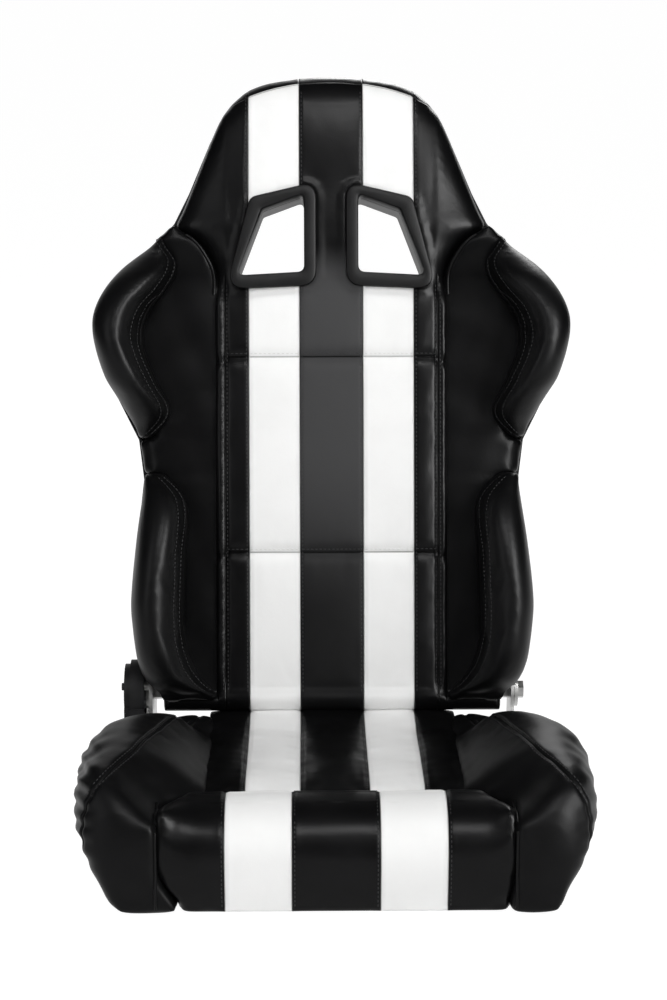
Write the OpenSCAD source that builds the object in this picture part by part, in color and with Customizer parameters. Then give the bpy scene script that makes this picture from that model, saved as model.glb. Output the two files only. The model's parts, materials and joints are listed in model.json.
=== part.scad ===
// Reclining bucket-style sport seat on a steel frame.
// X runs across the seat, Y to the rear, Z up. The origin is the centre of the four
// mounting bolts, on the plane the side rails rest on.
// The backrest is laid out about its hinge: x across, d from front to rear, h along the back.

/* [Seat base] */
// Distance between the centres of the two side rails
rail_spacing = 400; // [390:1:410]
// Width of a side rail
rail_w = 30; // [26:1:34]
// Height of a side rail
rail_h = 30; // [26:1:32]
// Sheet thickness of the side rails
rail_t = 2.5; // [2:0.1:3]
// Front end of the rails, ahead of the origin
rail_front = 215; // [205:1:218]
// Rear end of the rails, behind the origin
rail_rear = 170; // [166:1:180]
// Mounting bolt spacing from front to rear
bolt_spacing = 300; // [294:1:304]
// Diameter of the mounting bolt holes
bolt_hole_d = 8.5; // [8.2:0.1:9]
// Diameter of the cross tubes in the base
base_tube_d = 22; // [18:1:24]
// Wall of every round tube
tube_wall = 1.8; // [1.2:0.1:2.5]
// Thickness of the seat pan
pan_t = 2; // [1.5:0.1:3]

/* [Base upholstery] */
// Width over the two thigh bolsters
base_w = 578; // [566:1:590]
// Width of the middle cushion
cushion_w = 287; // [280:1:290]
// Top of the middle cushion at its front seam
cushion_front_z = 104; // [100:1:108]
// Top of the middle cushion near the backrest
cushion_rear_z = 89; // [84:0.5:89.4]
// Rear end of the middle cushion
cushion_rear = 151; // [146:1:153]
// Seam between the middle cushion and the front roll, ahead of the origin
roll_seam = 172; // [168:1:176]
// Front face of the front roll, ahead of the origin
roll_front = 258; // [250:1:266]
// Top of the front roll
roll_top = 117; // [112:1:122]
// Width of the front roll
roll_w = 380; // [372:1:384]
// Highest point of the thigh bolsters
thigh_top = 160; // [150:1:165]
// Rear end of the thigh bolsters
thigh_rear = 96; // [90:1:97]
// Gap under the upholstery, above the floor
hem_z = 2; // [1.5:0.5:6]

/* [Backrest] */
// Hinge line behind the origin
hinge_y = 132; // [130:0.5:134]
// Hinge line above the mounting plane
hinge_z = 114; // [113.8:0.2:118]
// Backward lean of the backrest as it stands
lean = 14; // [11:0.5:16]
// Top of the backrest above the hinge
back_h = 738; // [725:1:755]
// Widest part of the backrest, over the shoulders
shoulder_w = 574; // [550:1:590]
// Height of the widest part above the hinge
shoulder_h = 436; // [430:1:442]
// Width at the waist
waist_w = 452; // [446:1:458]
// Width over the lumbar bolsters
lumbar_w = 485; // [480:1:490]
// Width of the headrest at its neck
neck_w = 340; // [330:1:350]
// Front of the backrest pad, ahead of the hinge line
pad_front = 22.6; // [20:0.2:22.8]
// Back of the pads, behind the hinge line
pad_back = 24; // [23:0.2:24.2]
// Width of the middle pad
pad_w = 282; // [276:1:284]
// Crown of the middle pad
pad_crown = 5; // [2:0.5:7]
// Lower sewn channel across the pad, above the hinge
channel_low = 168; // [150:1:190]
// Upper sewn channel across the pad, above the hinge
channel_high = 403; // [380:1:420]
// Depth of a sewn channel
channel_depth = 7; // [3:0.5:9]
// How far the shoulder bolsters stand ahead of the hinge line
shoulder_depth = 108; // [90:1:112]
// How far the lumbar bolsters stand ahead of the hinge line
lumbar_depth = 105; // [90:1:108]
// Depth of the rear cover
cover_depth = 37.5; // [36:0.5:44]
// Wall of the rear cover
cover_wall = 3.5; // [2.5:0.1:3.8]
// Diameter of the tubes in the backrest
back_tube_d = 22; // [19:1:22]

/* [Harness openings] */
// Lower edge of a harness bezel above the hinge
bezel_low = 484; // [482:1:488]
// Upper edge of a harness bezel above the hinge
bezel_high = 613; // [606:1:618]
// Inner edge of a bezel from the middle
bezel_in = 18; // [14:1:20]
// Outer lower corner of a bezel from the middle
bezel_out = 126; // [122:1:128]
// Width of a bezel's flange
bezel_band = 15; // [11:0.5:17]
// Thickness of a bezel's flange
bezel_t = 6; // [4:0.5:8]
// Wall of a bezel's sleeve
sleeve_wall = 2.5; // [2:0.1:3]

/* [Hinges and recliner] */
// Thickness of the hinge plates
plate_t = 4; // [3:0.1:4.5]
// Diameter of the pivot bolts
pivot_d = 12; // [10:1:12]
// Outer diameter of the pivot bushes
bush_d = 16; // [15:0.5:17]
// Radius of the hinge plate round the recliner
recliner_r = 44; // [42:0.5:44.5]
// Radius over the teeth of the sector
sector_r = 34; // [32:0.5:34]
// Depth of a sector tooth
tooth_depth = 3; // [2:0.1:3.5]
// Number of teeth on the sector
sector_teeth = 26; // [26:1:28]
// Outer face of the recliner cover from the middle of the seat
recliner_out = 250; // [248:1:254]
// Length of the release lever from its pin
lever_reach = 75; // [68:1:76]

/* [Hidden] */

soft_gap = 0.6;      // between upholstered pieces
seat_gap = 0.3;      // between a soft piece and the steel it lies on
run_fit = 0.05;      // round the parts that turn
bolt_fit = 0.2;      // round bolts in plates
sweep_gap = 3;       // between the recliner and what swings past it

rail_x = rail_spacing / 2;
rail_out = rail_x + rail_w / 2;
rail_in = rail_x - rail_w / 2;
pan_z = rail_h + pan_t;
base_z = pan_z + seat_gap;
side_bolt_z = rail_h / 2 + 1;
side_bolts_y = [108, 132];

// stack of plates at each hinge, counted outward from the rail
washer_t = 0.8;
plate_x0 = rail_out;
plate_x1 = plate_x0 + plate_t;
back_x0 = plate_x1 + washer_t + 0.2;
back_x1 = back_x0 + plate_t;
bush_end = back_x1 + 0.4;
pivot_head_x = bush_end + 0.1;
lever_x0 = back_x1 + 2;
lever_t = 3;
cover_x0 = back_x1 + 1.5;

// where the backrest frame bolts to the back plates, from the hinge
frame_d = 38;
frame_h = 45;
arm_r = 20;
notch_r = recliner_r + sweep_gap;
notch_h = frame_h + arm_r + 5;
upright_x = 175;
bend_h = 470;
arm_h = back_h - 148;
arm_x = 140;
top_tube_h = back_h - 48;

sector_span = 4 * sector_teeth;
sector_start = 237;
lever_y = hinge_y - 28;
lever_z = hinge_z - 42;
pin_r = 5;
hub_r = 9;
lever_droop = 12;

function lerp(a, b, t) = a + (b - a) * t;
function clamp(t) = min(1, max(0, t));
function smooth(t) = let (c = clamp(t)) c * c * (3 - 2 * c);
function spow(v, e) = sign(v) * pow(abs(v), e);
function ease(t) = sqrt(max(0, 1 - t * t));

// Smooth curve through rising [position, value] keys
function key_at(k, x, i = 0) = (i >= len(k) - 2 || x < k[i + 1][0]) ? i : key_at(k, x, i + 1);
function key_slope(k, i) =
    let (a = max(0, i - 1), b = min(len(k) - 1, i + 1))
    (k[b][1] - k[a][1]) / (k[b][0] - k[a][0]);
function curve(k, x) =
    let (i = key_at(k, x), w = k[i + 1][0] - k[i][0], t = clamp((x - k[i][0]) / w))
    let (m0 = key_slope(k, i) * w, m1 = key_slope(k, i + 1) * w, t2 = t * t, t3 = t2 * t)
    (2 * t3 - 3 * t2 + 1) * k[i][1] + (t3 - 2 * t2 + t) * m0
    + (3 * t2 - 2 * t3) * k[i + 1][1] + (t3 - t2) * m1;

module mirrored(side) {
    if (side < 0) {
        mirror([1, 0, 0]) children();
    } else {
        children();
    }
}

// Places backrest geometry, given as x, d, h about the hinge, in the seat
module on_back() {
    translate([0, hinge_y, hinge_z]) rotate([-lean, 0, 0]) children();
}

// A closed skin through rings of equal point counts, with a fan over each end
module ring_skin(rings, first_mid, last_mid) {
    m = len(rings[0]);
    n = len(rings);
    points = concat([for (r = rings) each r], [first_mid, last_mid]);
    walls = [for (i = [0:n - 2], j = [0:m - 1])
        let (a = i * m + j, b = i * m + (j + 1) % m)
        each [[a, a + m, b], [b, a + m, b + m]]];
    first_fan = [for (j = [0:m - 1]) [n * m, j, (j + 1) % m]];
    last_fan = [for (j = [0:m - 1]) [n * m + 1, (n - 1) * m + (j + 1) % m, (n - 1) * m + j]];
    polyhedron(points, concat(walls, first_fan, last_fan));
}

// A closed shell between an outer and an inner grid of points
module shell_skin(outer, inner) {
    n = len(outer);
    m = len(outer[0]);
    k = n * m;
    points = concat([for (r = outer) each r], [for (r = inner) each r]);
    skins = [for (i = [0:n - 2], j = [0:m - 2])
        let (a = i * m + j)
        each [[a, a + 1, a + m], [a + 1, a + m + 1, a + m],
              [k + a, k + a + m, k + a + 1], [k + a + 1, k + a + m, k + a + m + 1]]];
    low = [for (j = [0:m - 2]) each [[j, k + j, j + 1], [j + 1, k + j, k + j + 1]]];
    high = [for (j = [0:m - 2])
        let (a = (n - 1) * m + j)
        each [[a, a + 1, k + a], [a + 1, k + a + 1, k + a]]];
    start = [for (i = [0:n - 2])
        let (a = i * m)
        each [[a, a + m, k + a], [a + m, k + a + m, k + a]]];
    end = [for (i = [0:n - 2])
        let (a = i * m + m - 1)
        each [[a, k + a, a + m], [a + m, k + a, k + a + m]]];
    polyhedron(points, concat(skins, low, high, start, end));
}

// Outline corners rounded to radius r, as arc points
function corner(a, b, c, r, n = 5) =
    let (u = (a - b) / norm(a - b), v = (c - b) / norm(c - b))
    let (half = acos(u * v) / 2, reach = r / tan(half), mid = (u + v) / norm(u + v))
    let (o = b + mid * (r / sin(half)), p = b + u * reach, q = b + v * reach)
    let (a0 = atan2(p[1] - o[1], p[0] - o[0]), a1 = atan2(q[1] - o[1], q[0] - o[0]))
    let (turn = ((a1 - a0 + 540) % 360) - 180)
    [for (i = [0:n]) o + r * [cos(a0 + turn * i / n), sin(a0 + turn * i / n)]];
function rounded(pts, r) =
    let (n = len(pts))
    [for (i = [0:n - 1]) each corner(pts[(i + n - 1) % n], pts[i], pts[(i + 1) % n], r)];

module along_x(x0, x1) {
    translate([x0, 0, 0]) rotate([90, 0, 90]) linear_extrude(x1 - x0) children();
}

// Round bar or hole along X, its centre given as [y, z]
module round_x(x0, x1, at, r) {
    translate([x0, at[0], at[1]]) rotate([0, 90, 0]) cylinder(h = x1 - x0, r = r, $fn = 64);
}

module hex_x(x0, x1, at, flats) {
    translate([x0, at[0], at[1]]) rotate([0, 90, 0])
        cylinder(h = x1 - x0, r = flats / sqrt(3), $fn = 6);
}

// ---------------------------------------------------------------- seat base frame

module side_rail(side) {
    color("dimgray") mirrored(side) difference() {
        translate([rail_in, -rail_front, 0]) cube([rail_w, rail_front + rail_rear, rail_h]);
        translate([rail_in + rail_t, -rail_front - 1, rail_t])
            cube([rail_w - 2 * rail_t, rail_front + rail_rear + 2, rail_h]);
        for (y = [-1, 1] * bolt_spacing / 2)
            translate([rail_x, y, -1]) cylinder(h = rail_t + 2, d = bolt_hole_d, $fn = 64);
        for (y = side_bolts_y)
            round_x(rail_out - rail_t - 1, rail_out + 1, [y, side_bolt_z], 4 + bolt_fit);
    }
}

module side_rail_left() { side_rail(-1); }
module side_rail_right() { side_rail(1); }

module base_tube(y) {
    color("dimgray") translate([-rail_in, y, base_tube_d / 2 + 5]) rotate([0, 90, 0])
        difference() {
            cylinder(h = 2 * rail_in, d = base_tube_d, $fn = 64);
            translate([0, 0, -1])
                cylinder(h = 2 * rail_in + 2, d = base_tube_d - 2 * tube_wall, $fn = 64);
        }
}

module front_cross_tube() { base_tube(-rail_front + 25); }
module rear_cross_tube() { base_tube(rail_rear - 20); }

module weld_nuts() {
    color("silver") for (x = [-1, 1] * rail_x, y = [-1, 1] * bolt_spacing / 2)
        translate([x, y, rail_t]) difference() {
            cylinder(h = 7, r = 13 / sqrt(3), $fn = 6);
            translate([0, 0, -1]) cylinder(h = 9, d = bolt_hole_d, $fn = 64);
        }
}

// Pressed pan with lightening holes, lying on the rails
module seat_pan() {
    color("dimgray") difference() {
        translate([-rail_out + 1, -rail_front, rail_h])
            cube([2 * rail_out - 2, rail_front + rail_rear - 5, pan_t]);
        for (x = [-120, -40, 40, 120], y = [-130, -50, 30, 100])
            translate([x, y, rail_h - 1]) cylinder(h = pan_t + 2, r = 22, $fn = 48);
    }
}

// ---------------------------------------------------------------- hinges

// Foot of a hinge plate, bolted to the rail's side
module hinge_foot() {
    polygon([[98, 4], [164, 4], [164, hinge_z], [hinge_y - 20, hinge_z], [98, rail_h + 28]]);
}

module hinge_plate(side, r) {
    color("silver") mirrored(side) difference() {
        along_x(plate_x0, plate_x1) union() {
            translate([hinge_y, hinge_z]) circle(r = r, $fn = 96);
            hinge_foot();
        }
        round_x(plate_x0 - 1, plate_x1 + 1, [hinge_y, hinge_z], pivot_d / 2 + bolt_fit);
        for (y = side_bolts_y)
            round_x(plate_x0 - 1, plate_x1 + 1, [y, side_bolt_z], 4 + bolt_fit);
    }
}

module hinge_plate_left() { hinge_plate(-1, recliner_r); }
module hinge_plate_right() { hinge_plate(1, 26); }

module hinge_plate_bolts() {
    color("silver") for (side = [-1, 1], y = side_bolts_y) mirrored(side) {
        hex_x(plate_x1, plate_x1 + 5.5, [y, side_bolt_z], 13);
        round_x(rail_out - rail_t - 8, plate_x1 + 1, [y, side_bolt_z], 4);
    }
}

module pivot_bolts() {
    color("silver") for (side = [-1, 1]) mirrored(side) {
        hex_x(pivot_head_x, pivot_head_x + 7, [hinge_y, hinge_z], 19);
        round_x(plate_x0 - 10, pivot_head_x + 1, [hinge_y, hinge_z], pivot_d / 2);
    }
}

module pivot_nuts() {
    color("silver") for (side = [-1, 1]) mirrored(side) difference() {
        hex_x(plate_x0 - 9, plate_x0, [hinge_y, hinge_z], 18);
        round_x(plate_x0 - 10, plate_x0 + 1, [hinge_y, hinge_z], pivot_d / 2 + run_fit);
    }
}

module pivot_bushes() {
    color("goldenrod") for (side = [-1, 1]) mirrored(side) difference() {
        round_x(plate_x1, bush_end, [hinge_y, hinge_z], bush_d / 2);
        round_x(plate_x1 - 1, bush_end + 1, [hinge_y, hinge_z], pivot_d / 2 + run_fit);
    }
}

module pivot_washers() {
    color("white") for (side = [-1, 1]) mirrored(side) difference() {
        round_x(plate_x1, plate_x1 + washer_t, [hinge_y, hinge_z], bush_d / 2 + 6);
        round_x(plate_x1 - 1, plate_x1 + washer_t + 1, [hinge_y, hinge_z], bush_d / 2 + run_fit);
    }
}

// ---------------------------------------------------------------- recliner on the left

module lever_pin() {
    color("silver") mirrored(-1) union() {
        round_x(plate_x1, recliner_out - 10, [lever_y, lever_z], pin_r);
        round_x(recliner_out - 12, recliner_out - 10, [lever_y, lever_z], pin_r + 3.5);
    }
}

module lever_spring() {
    color("silver") mirrored(-1) difference() {
        round_x(lever_x0 + lever_t + 0.3, recliner_out - 12.3, [lever_y, lever_z], pin_r + 3);
        round_x(lever_x0, recliner_out, [lever_y, lever_z], pin_r + 0.3);
    }
}

// Flat spiral strip round the pivot bolt's head
module recline_spring() {
    turns = 3.5;
    steps = 84;
    inner = 19 / sqrt(3) + 0.3;
    strip = 1.4;
    grow = 10.8;
    function spiral(r, i) =
        let (a = 360 * turns * i / steps)
        [hinge_y + (r + grow * i / steps) * cos(a), hinge_z + (r + grow * i / steps) * sin(a)];
    color("dimgray") mirrored(-1) along_x(pivot_head_x + 0.5, pivot_head_x + 6.5)
        polygon(concat([for (i = [0:steps]) spiral(inner, i)],
                       [for (i = [steps:-1:0]) spiral(inner + strip, i)]));
}

function post_places() = [[hinge_y - 26, hinge_z + 14.6], [hinge_y + 13, hinge_z - 52]];

module cover_posts() {
    color("silver") mirrored(-1) for (p = post_places()) difference() {
        round_x(plate_x1, recliner_out - 9.5, p, 5);
        round_x(recliner_out - 21, recliner_out, p, 2);
    }
}

module cover_outline(shrink) {
    translate([hinge_y, hinge_z]) circle(r = recliner_r - 6 - shrink, $fn = 96);
    polygon([[92 + shrink, 40 + shrink], [166 - shrink, 40 + shrink], [166 - shrink, hinge_z],
             [hinge_y, hinge_z + 12], [92 + shrink, hinge_z - 12]]);
}

module recliner_cover() {
    color([0.13, 0.13, 0.14]) mirrored(-1) difference() {
        union() {
            along_x(cover_x0, recliner_out - 7) cover_outline(0);
            along_x(recliner_out - 8, recliner_out) cover_outline(5);
        }
        along_x(cover_x0 - 1, recliner_out - 9.5) cover_outline(2.5);
        difference() {
            along_x(cover_x0 - 1, recliner_out - 3) cover_outline(7.5);
            for (p = post_places())
                round_x(recliner_out - 9.5, recliner_out, p, 6);
        }
        for (p = post_places())
            round_x(recliner_out - 10, recliner_out + 1, p, 2.2);
        translate([cover_x0 - 1, 88, lever_z - 20]) cube([10, 12, 40]);
    }
}

module cover_screws() {
    color([0.1, 0.1, 0.1]) mirrored(-1) for (p = post_places()) {
        round_x(recliner_out, recliner_out + 2.5, p, 4.5);
        round_x(recliner_out - 20, recliner_out + 1, p, 1.95);
    }
}

// Everything on the release lever is laid out forward from its pin
module on_lever(x0, x1) {
    mirrored(-1) along_x(x0, x1)
        translate([lever_y, lever_z]) rotate(180 + lever_droop) children();
}

module recline_lever() {
    color("silver") difference() {
        on_lever(lever_x0, lever_x0 + lever_t) union() {
            circle(r = hub_r, $fn = 64);
            translate([0, -6]) square([lever_reach - 4, 12]);
        }
        mirrored(-1) round_x(lever_x0 - 1, lever_x0 + lever_t + 1, [lever_y, lever_z],
                             pin_r + run_fit);
    }
}

module lever_grip() {
    grip_w = 18;
    color([0.1, 0.1, 0.1]) difference() {
        on_lever(back_x1 + 1, back_x1 + 1 + grip_w)
            polygon(rounded([[24, -9], [lever_reach, -11], [lever_reach, 11], [24, 9]], 5));
        on_lever(lever_x0 - bolt_fit, lever_x0 + lever_t + bolt_fit)
            translate([20, -6 - bolt_fit]) square([lever_reach - 24 + bolt_fit, 12 + 2 * bolt_fit]);
    }
}

// Toothed pawl that locks into the sector, turning with the lever
module lock_pawl() {
    tip = sector_r + 0.5;
    root = tip + tooth_depth;
    nose = [254, 270];
    teeth = 4;
    step = (nose[1] - nose[0]) / teeth;
    function at(r, a) = [hinge_y + r * cos(a), hinge_z + r * sin(a)];
    color("silver") mirrored(-1) difference() {
        union() {
            along_x(back_x0, back_x1) union() {
                translate([lever_y, lever_z]) circle(r = hub_r, $fn = 64);
                polygon(concat(
                    [for (i = [0:teeth - 1]) each [at(root, nose[0] + step * i),
                                                   at(tip, nose[0] + step * (i + 0.5))]],
                    [at(root, nose[1]), at(root + 8, nose[1]), at(root + 8, nose[0] - 12),
                     at(root, nose[0] - 12)]));
            }
            round_x(back_x0, lever_x0, [lever_y, lever_z], pin_r + 3);
        }
        round_x(back_x0 - 1, lever_x0 + 1, [lever_y, lever_z], pin_r + run_fit);
    }
}

// ---------------------------------------------------------------- backrest frame

module back_arm() {
    reach = norm([frame_d, frame_h]);
    circle(r = arm_r, $fn = 96);
    translate([frame_d, frame_h]) circle(r = arm_r, $fn = 96);
    rotate(atan2(frame_h, frame_d)) translate([0, -0.88 * arm_r])
        square([reach, 1.76 * arm_r]);
}

module sector() {
    step = sector_span / sector_teeth;
    polygon(concat([[0, 0]], [for (i = [0:sector_teeth - 1], part = [0, 0.5])
        let (a = sector_start + step * (i + part), r = part == 0 ? sector_r : sector_r - tooth_depth)
        [r * cos(a), r * sin(a)]]));
}

module back_plate(side, toothed) {
    color("silver") on_back() mirrored(side) difference() {
        along_x(back_x0, back_x1) union() {
            back_arm();
            if (toothed) {
                circle(r = 24, $fn = 96);
                sector();
            }
        }
        round_x(back_x0 - 1, back_x1 + 1, [0, 0], bush_d / 2 + run_fit);
        round_x(back_x0 - 1, back_x1 + 1, [frame_d, frame_h], 5 + bolt_fit);
    }
}

module back_plate_left() { back_plate(-1, true); }
module back_plate_right() { back_plate(1, false); }

module back_plate_bolts() {
    color("silver") on_back() for (side = [-1, 1]) mirrored(side) {
        hex_x(back_x1, back_x1 + 6, [frame_d, frame_h], 16);
        round_x(back_x0 - 14, back_x1 + 1, [frame_d, frame_h], 5);
    }
}

module back_lower_tube() {
    color("dimgray") on_back() difference() {
        round_x(-back_x0, back_x0, [frame_d, frame_h], back_tube_d / 2);
        round_x(-back_x0 - 1, back_x0 + 1, [frame_d, frame_h], back_tube_d / 2 - tube_wall);
    }
}

// Round bar between two points of the frame plane, given as [x, h]
module frame_bar(a, b, d) {
    run = b - a;
    translate([a[0], frame_d, a[1]]) rotate([0, atan2(run[0], run[1]), 0])
        cylinder(h = norm(run), d = d, $fn = 64);
}

module bent_bar(top_x, d) {
    frame_bar([upright_x, frame_h], [upright_x, bend_h], d);
    translate([upright_x, frame_d, bend_h]) sphere(d = d, $fn = 64);
    frame_bar([upright_x, bend_h], [top_x, top_tube_h], d);
}

// Upright with one bend, coped on to the lower tube
module back_upright(side) {
    lean_in = atan2(upright_x - arm_x, arm_h - bend_h);
    top_x = upright_x - (top_tube_h - bend_h) * tan(lean_in);
    color("dimgray") on_back() mirrored(side) difference() {
        bent_bar(top_x, back_tube_d);
        bent_bar(top_x, back_tube_d - 2 * tube_wall);
        round_x(0, 2 * upright_x, [frame_d, frame_h], back_tube_d / 2 + 0.1);
        round_x(0, 2 * upright_x, [frame_d, top_tube_h], back_tube_d / 2 + 0.1);
        translate([0, frame_d - back_tube_d, top_tube_h]) cube([300, 2 * back_tube_d, 40]);
    }
}

module back_upright_left() { back_upright(-1); }
module back_upright_right() { back_upright(1); }

module back_middle_tube() {
    end = upright_x - back_tube_d / 2 - 0.2;
    color("dimgray") on_back() difference() {
        round_x(-end, end, [frame_d, 300], 8);
        round_x(-end - 1, end + 1, [frame_d, 300], 8 - tube_wall);
    }
}

module headrest_tube() {
    lean_in = atan2(upright_x - arm_x, arm_h - bend_h);
    end = upright_x - (top_tube_h - bend_h) * tan(lean_in) + back_tube_d * 0.05;
    color("dimgray") on_back() difference() {
        round_x(-end, end, [frame_d, top_tube_h], back_tube_d / 2);
        round_x(-end - 1, end + 1, [frame_d, top_tube_h], back_tube_d / 2 - tube_wall);
    }
}

// Elastic straps behind the middle pad, in front of the uprights
module back_straps() {
    front = pad_back + 0.3;
    thick = frame_d - back_tube_d / 2 - front - 0.3;
    color([0.2, 0.2, 0.2]) on_back() for (h = [90, 170, 250, 350, 430])
        translate([-upright_x - 6, front, h - 20]) cube([2 * upright_x + 12, thick, 40]);
}

// ---------------------------------------------------------------- backrest upholstery

head_h = 640;  // where the headrest starts to round over
outline_keys = [[-30, lumbar_w / 2 - 48], [0, lumbar_w / 2 - 27], [20, lumbar_w / 2 - 14],
    [45, lumbar_w / 2 - 6], [80, lumbar_w / 2 - 2], [111, lumbar_w / 2],
    [185, lumbar_w / 2 - 8], [256, waist_w / 2], [304, waist_w / 2 + 6],
    [352, shoulder_w / 2 - 31], [376, shoulder_w / 2 - 15], [shoulder_h, shoulder_w / 2],
    [472, shoulder_w / 2 - 8], [508, shoulder_w / 2 - 34], [543, shoulder_w / 2 - 78],
    [567, neck_w / 2 + 18], [603, neck_w / 2], [651, neck_w / 2 - 20],
    [back_h, neck_w / 2 - 57]];

function top_cap(h) = let (t = clamp((h - head_h) / (back_h - head_h))) sqrt(1 - pow(t, 5));
// Half width of the backrest's outline at height h
function outline(h) = curve(outline_keys, h) * top_cap(h);
function top_row(i, n) = head_h + (back_h - head_h) * sin(90 * i / n) * 0.998;

// Seam between the headrest and the panels beside it
function head_seam(h) = curve([[470, pad_w / 2], [502, pad_w / 2], [522, pad_w / 2 + 8],
    [543, pad_w / 2 + 24], [560, neck_w / 2 + 20], [590, neck_w / 2 + 20]], h);
// Inner seams of the two bolsters on each side
function lumbar_seam(h) = curve([[-30, 166], [0, 166], [33, 170], [74, 176], [161, 175],
    [230, 174], [262, 200], [275, 222]], h);
function shoulder_seam(h) = curve([[300, 224], [334, 193], [372, 208], [403, 221], [430, 226],
    [459, 217], [481, 199], [502, 186], [518, 184], [535, 195], [552, 204]], h);
function shoulder_in(h) = min(shoulder_seam(h), outline(h) - 3);

// Heights at which neighbouring pieces share a row of points along a curved seam
lumbar_rows = [notch_h + 3, 90, 120, 150, 200, 232, 250, 264];
shoulder_rows = [305, 316, 332, 352, 376, 403, 436, 468, 485];
neck_rows = [494, 502, 512, 522, 532, 543, 549];

pad_edge = 9;
function groove(x, at, w) = exp(-pow((x - at) / w, 2));
function channels(h) = groove(h, channel_low, 7) + groove(h, channel_high, 7);
function bottom_arc(h) = sqrt(max(0.5, pow(pad_front + 1, 2) - h * h));

// Front face of the middle pad
function pad_face(x, h) =
    let (u = clamp(abs(x) / (pad_w / 2)))
    let (seams = groove(abs(x), 38, 5) + groove(abs(x), 99, 5) + groove(abs(x), 128, 4))
    pad_crown * (1 - u * u) * smooth(h / 60) - 2 * seams * smooth(h / 30)
    - channel_depth * channels(h) * (1 - 0.4 * pow(u, 4)) - pad_edge * pow(u, 16);

module centre_pad() {
    half = pad_w / 2 - soft_gap / 2;
    across = [-1, -0.97, -0.94, -0.9, -0.86, -0.78, -0.7, -0.62, -0.45, -0.31, -0.27, -0.23, 0];
    xs = concat(across, [for (i = [len(across) - 2:-1:0]) -across[i]]);
    r = pad_front + 1;
    low = [for (a = [80:-20:0]) -r * sin(a)];
    rows = concat(low, [40, 90, 135, channel_low - 10, channel_low, channel_low + 10, 200, 250,
        300, 350, 380, channel_high - 10, channel_high, channel_high + 10, 430, 455, 476.5]);
    function ring(h) =
        let (front = h < 0 ? bottom_arc(h) : pad_front + 1)
        let (back = h < 0 ? min(pad_back, bottom_arc(h)) : pad_back)
        concat([for (x = xs) [x * half, -front - pad_face(x * half, h) * smooth(h / 20), h]],
               [[half, back * 0.9, h], [half * 0.9, back, h], [-half * 0.9, back, h],
                [-half, back * 0.9, h]]);
    color([0.16, 0.16, 0.16]) on_back()
        ring_skin([for (h = rows) ring(h)], [0, 0, rows[0]], [0, 0, rows[len(rows) - 1]]);
}

// Outline of a harness bezel, or of its opening for inset > 0
function bezel_points(inset) =
    let (top = bezel_high - inset, low = bezel_low + inset * 1.3)
    let (inner = bezel_in + inset, outer = bezel_out - inset)
    [[inner, top], [inner, low + 10], [inner + 8, low + 2], [outer - 18, low],
     [outer, low + 22], [outer - 28, top - 19]];

module bezel_shape(inset, round) {
    polygon(rounded(bezel_points(inset), round));
}

// Prism through the backrest from d0 to d1
module through_back(d0, d1) {
    translate([0, d1, 0]) rotate([90, 0, 0]) linear_extrude(d1 - d0) children();
}

module harness_holes(d0, d1) {
    for (side = [-1, 1]) mirrored(side)
        through_back(d0, d1) bezel_shape(bezel_band - sleeve_wall - 0.3, 3.5);
}

module headrest_pad() {
    gap = soft_gap / 2;
    low = 477.1;
    rows = concat([low], neck_rows, [558, 574, 600], [for (i = [0:7]) top_row(i, 7)]);
    function ring(h) =
        let (w = min(head_seam(h), outline(h) - 1) - gap, cap = top_cap(h))
        let (thick = (pad_front + 5.5 + pad_back) * lerp(0.3, 1, cap))
        let (puff = 5 * smooth((h - low) / 60) * cap)
        concat([for (a = [180:-12:0])
                let (x = spow(cos(a), 0.55), rise = spow(sin(a), 0.5))
                [w * x, pad_back - thick * rise - puff * (1 - x * x) * rise, h]],
               [[w * 0.5, pad_back, h], [-w * 0.5, pad_back, h]]);
    color([0.9, 0.9, 0.9]) on_back() difference() {
        ring_skin([for (h = rows) ring(h)], [0, 0, rows[0]], [0, 0, rows[len(rows) - 1]]);
        harness_holes(-80, 80);
    }
}

// Flat upholstered panel between the middle pad and the bolsters
module side_panel(side) {
    r = pad_front + 1;
    rows = concat([-22, -12, 0, 40, notch_h - 1], lumbar_rows, [274, 290], shoulder_rows,
        neck_rows);
    function panel_out(h) =
        h < 50 ? 174 - soft_gap
        : h < 270 ? min(lumbar_seam(h), outline(h) - 1) - soft_gap
        : h < 300 ? outline(h) - 1 - soft_gap
        : shoulder_in(h) - soft_gap;
    function ring(h) =
        let (x0 = (h < 478 ? pad_w / 2 : head_seam(h)) + soft_gap, x1 = panel_out(h))
        let (front = h < 0 ? min(12, bottom_arc(h)) : 12)
        let (back = h < 0 ? min(pad_back, bottom_arc(h)) : pad_back)
        let (free = smooth((h - 266) / 8) * smooth((312 - h) / 12))
        [[x0, -front + 1, h], [lerp(x0, x1, 0.2), -front, h], [lerp(x0, x1, 0.6), -front + 1, h],
         [lerp(x0, x1, 0.85), -front + 2 + 3 * free, h], [x1 - free, -front + 4 + 10 * free, h],
         [x1, lerp(-front, back, 0.6), h], [x1, back, h], [x0, back, h]];
    rings = [for (h = rows) ring(h)];
    last = len(rows) - 1;
    function middle(k) = [(rings[k][0][0] + rings[k][6][0]) / 2, 5, rows[k]];
    color([0.12, 0.12, 0.12]) on_back() mirrored(side) ring_skin(rings, middle(0), middle(last));
}

module side_panel_left() { side_panel(-1); }
module side_panel_right() { side_panel(1); }

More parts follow.
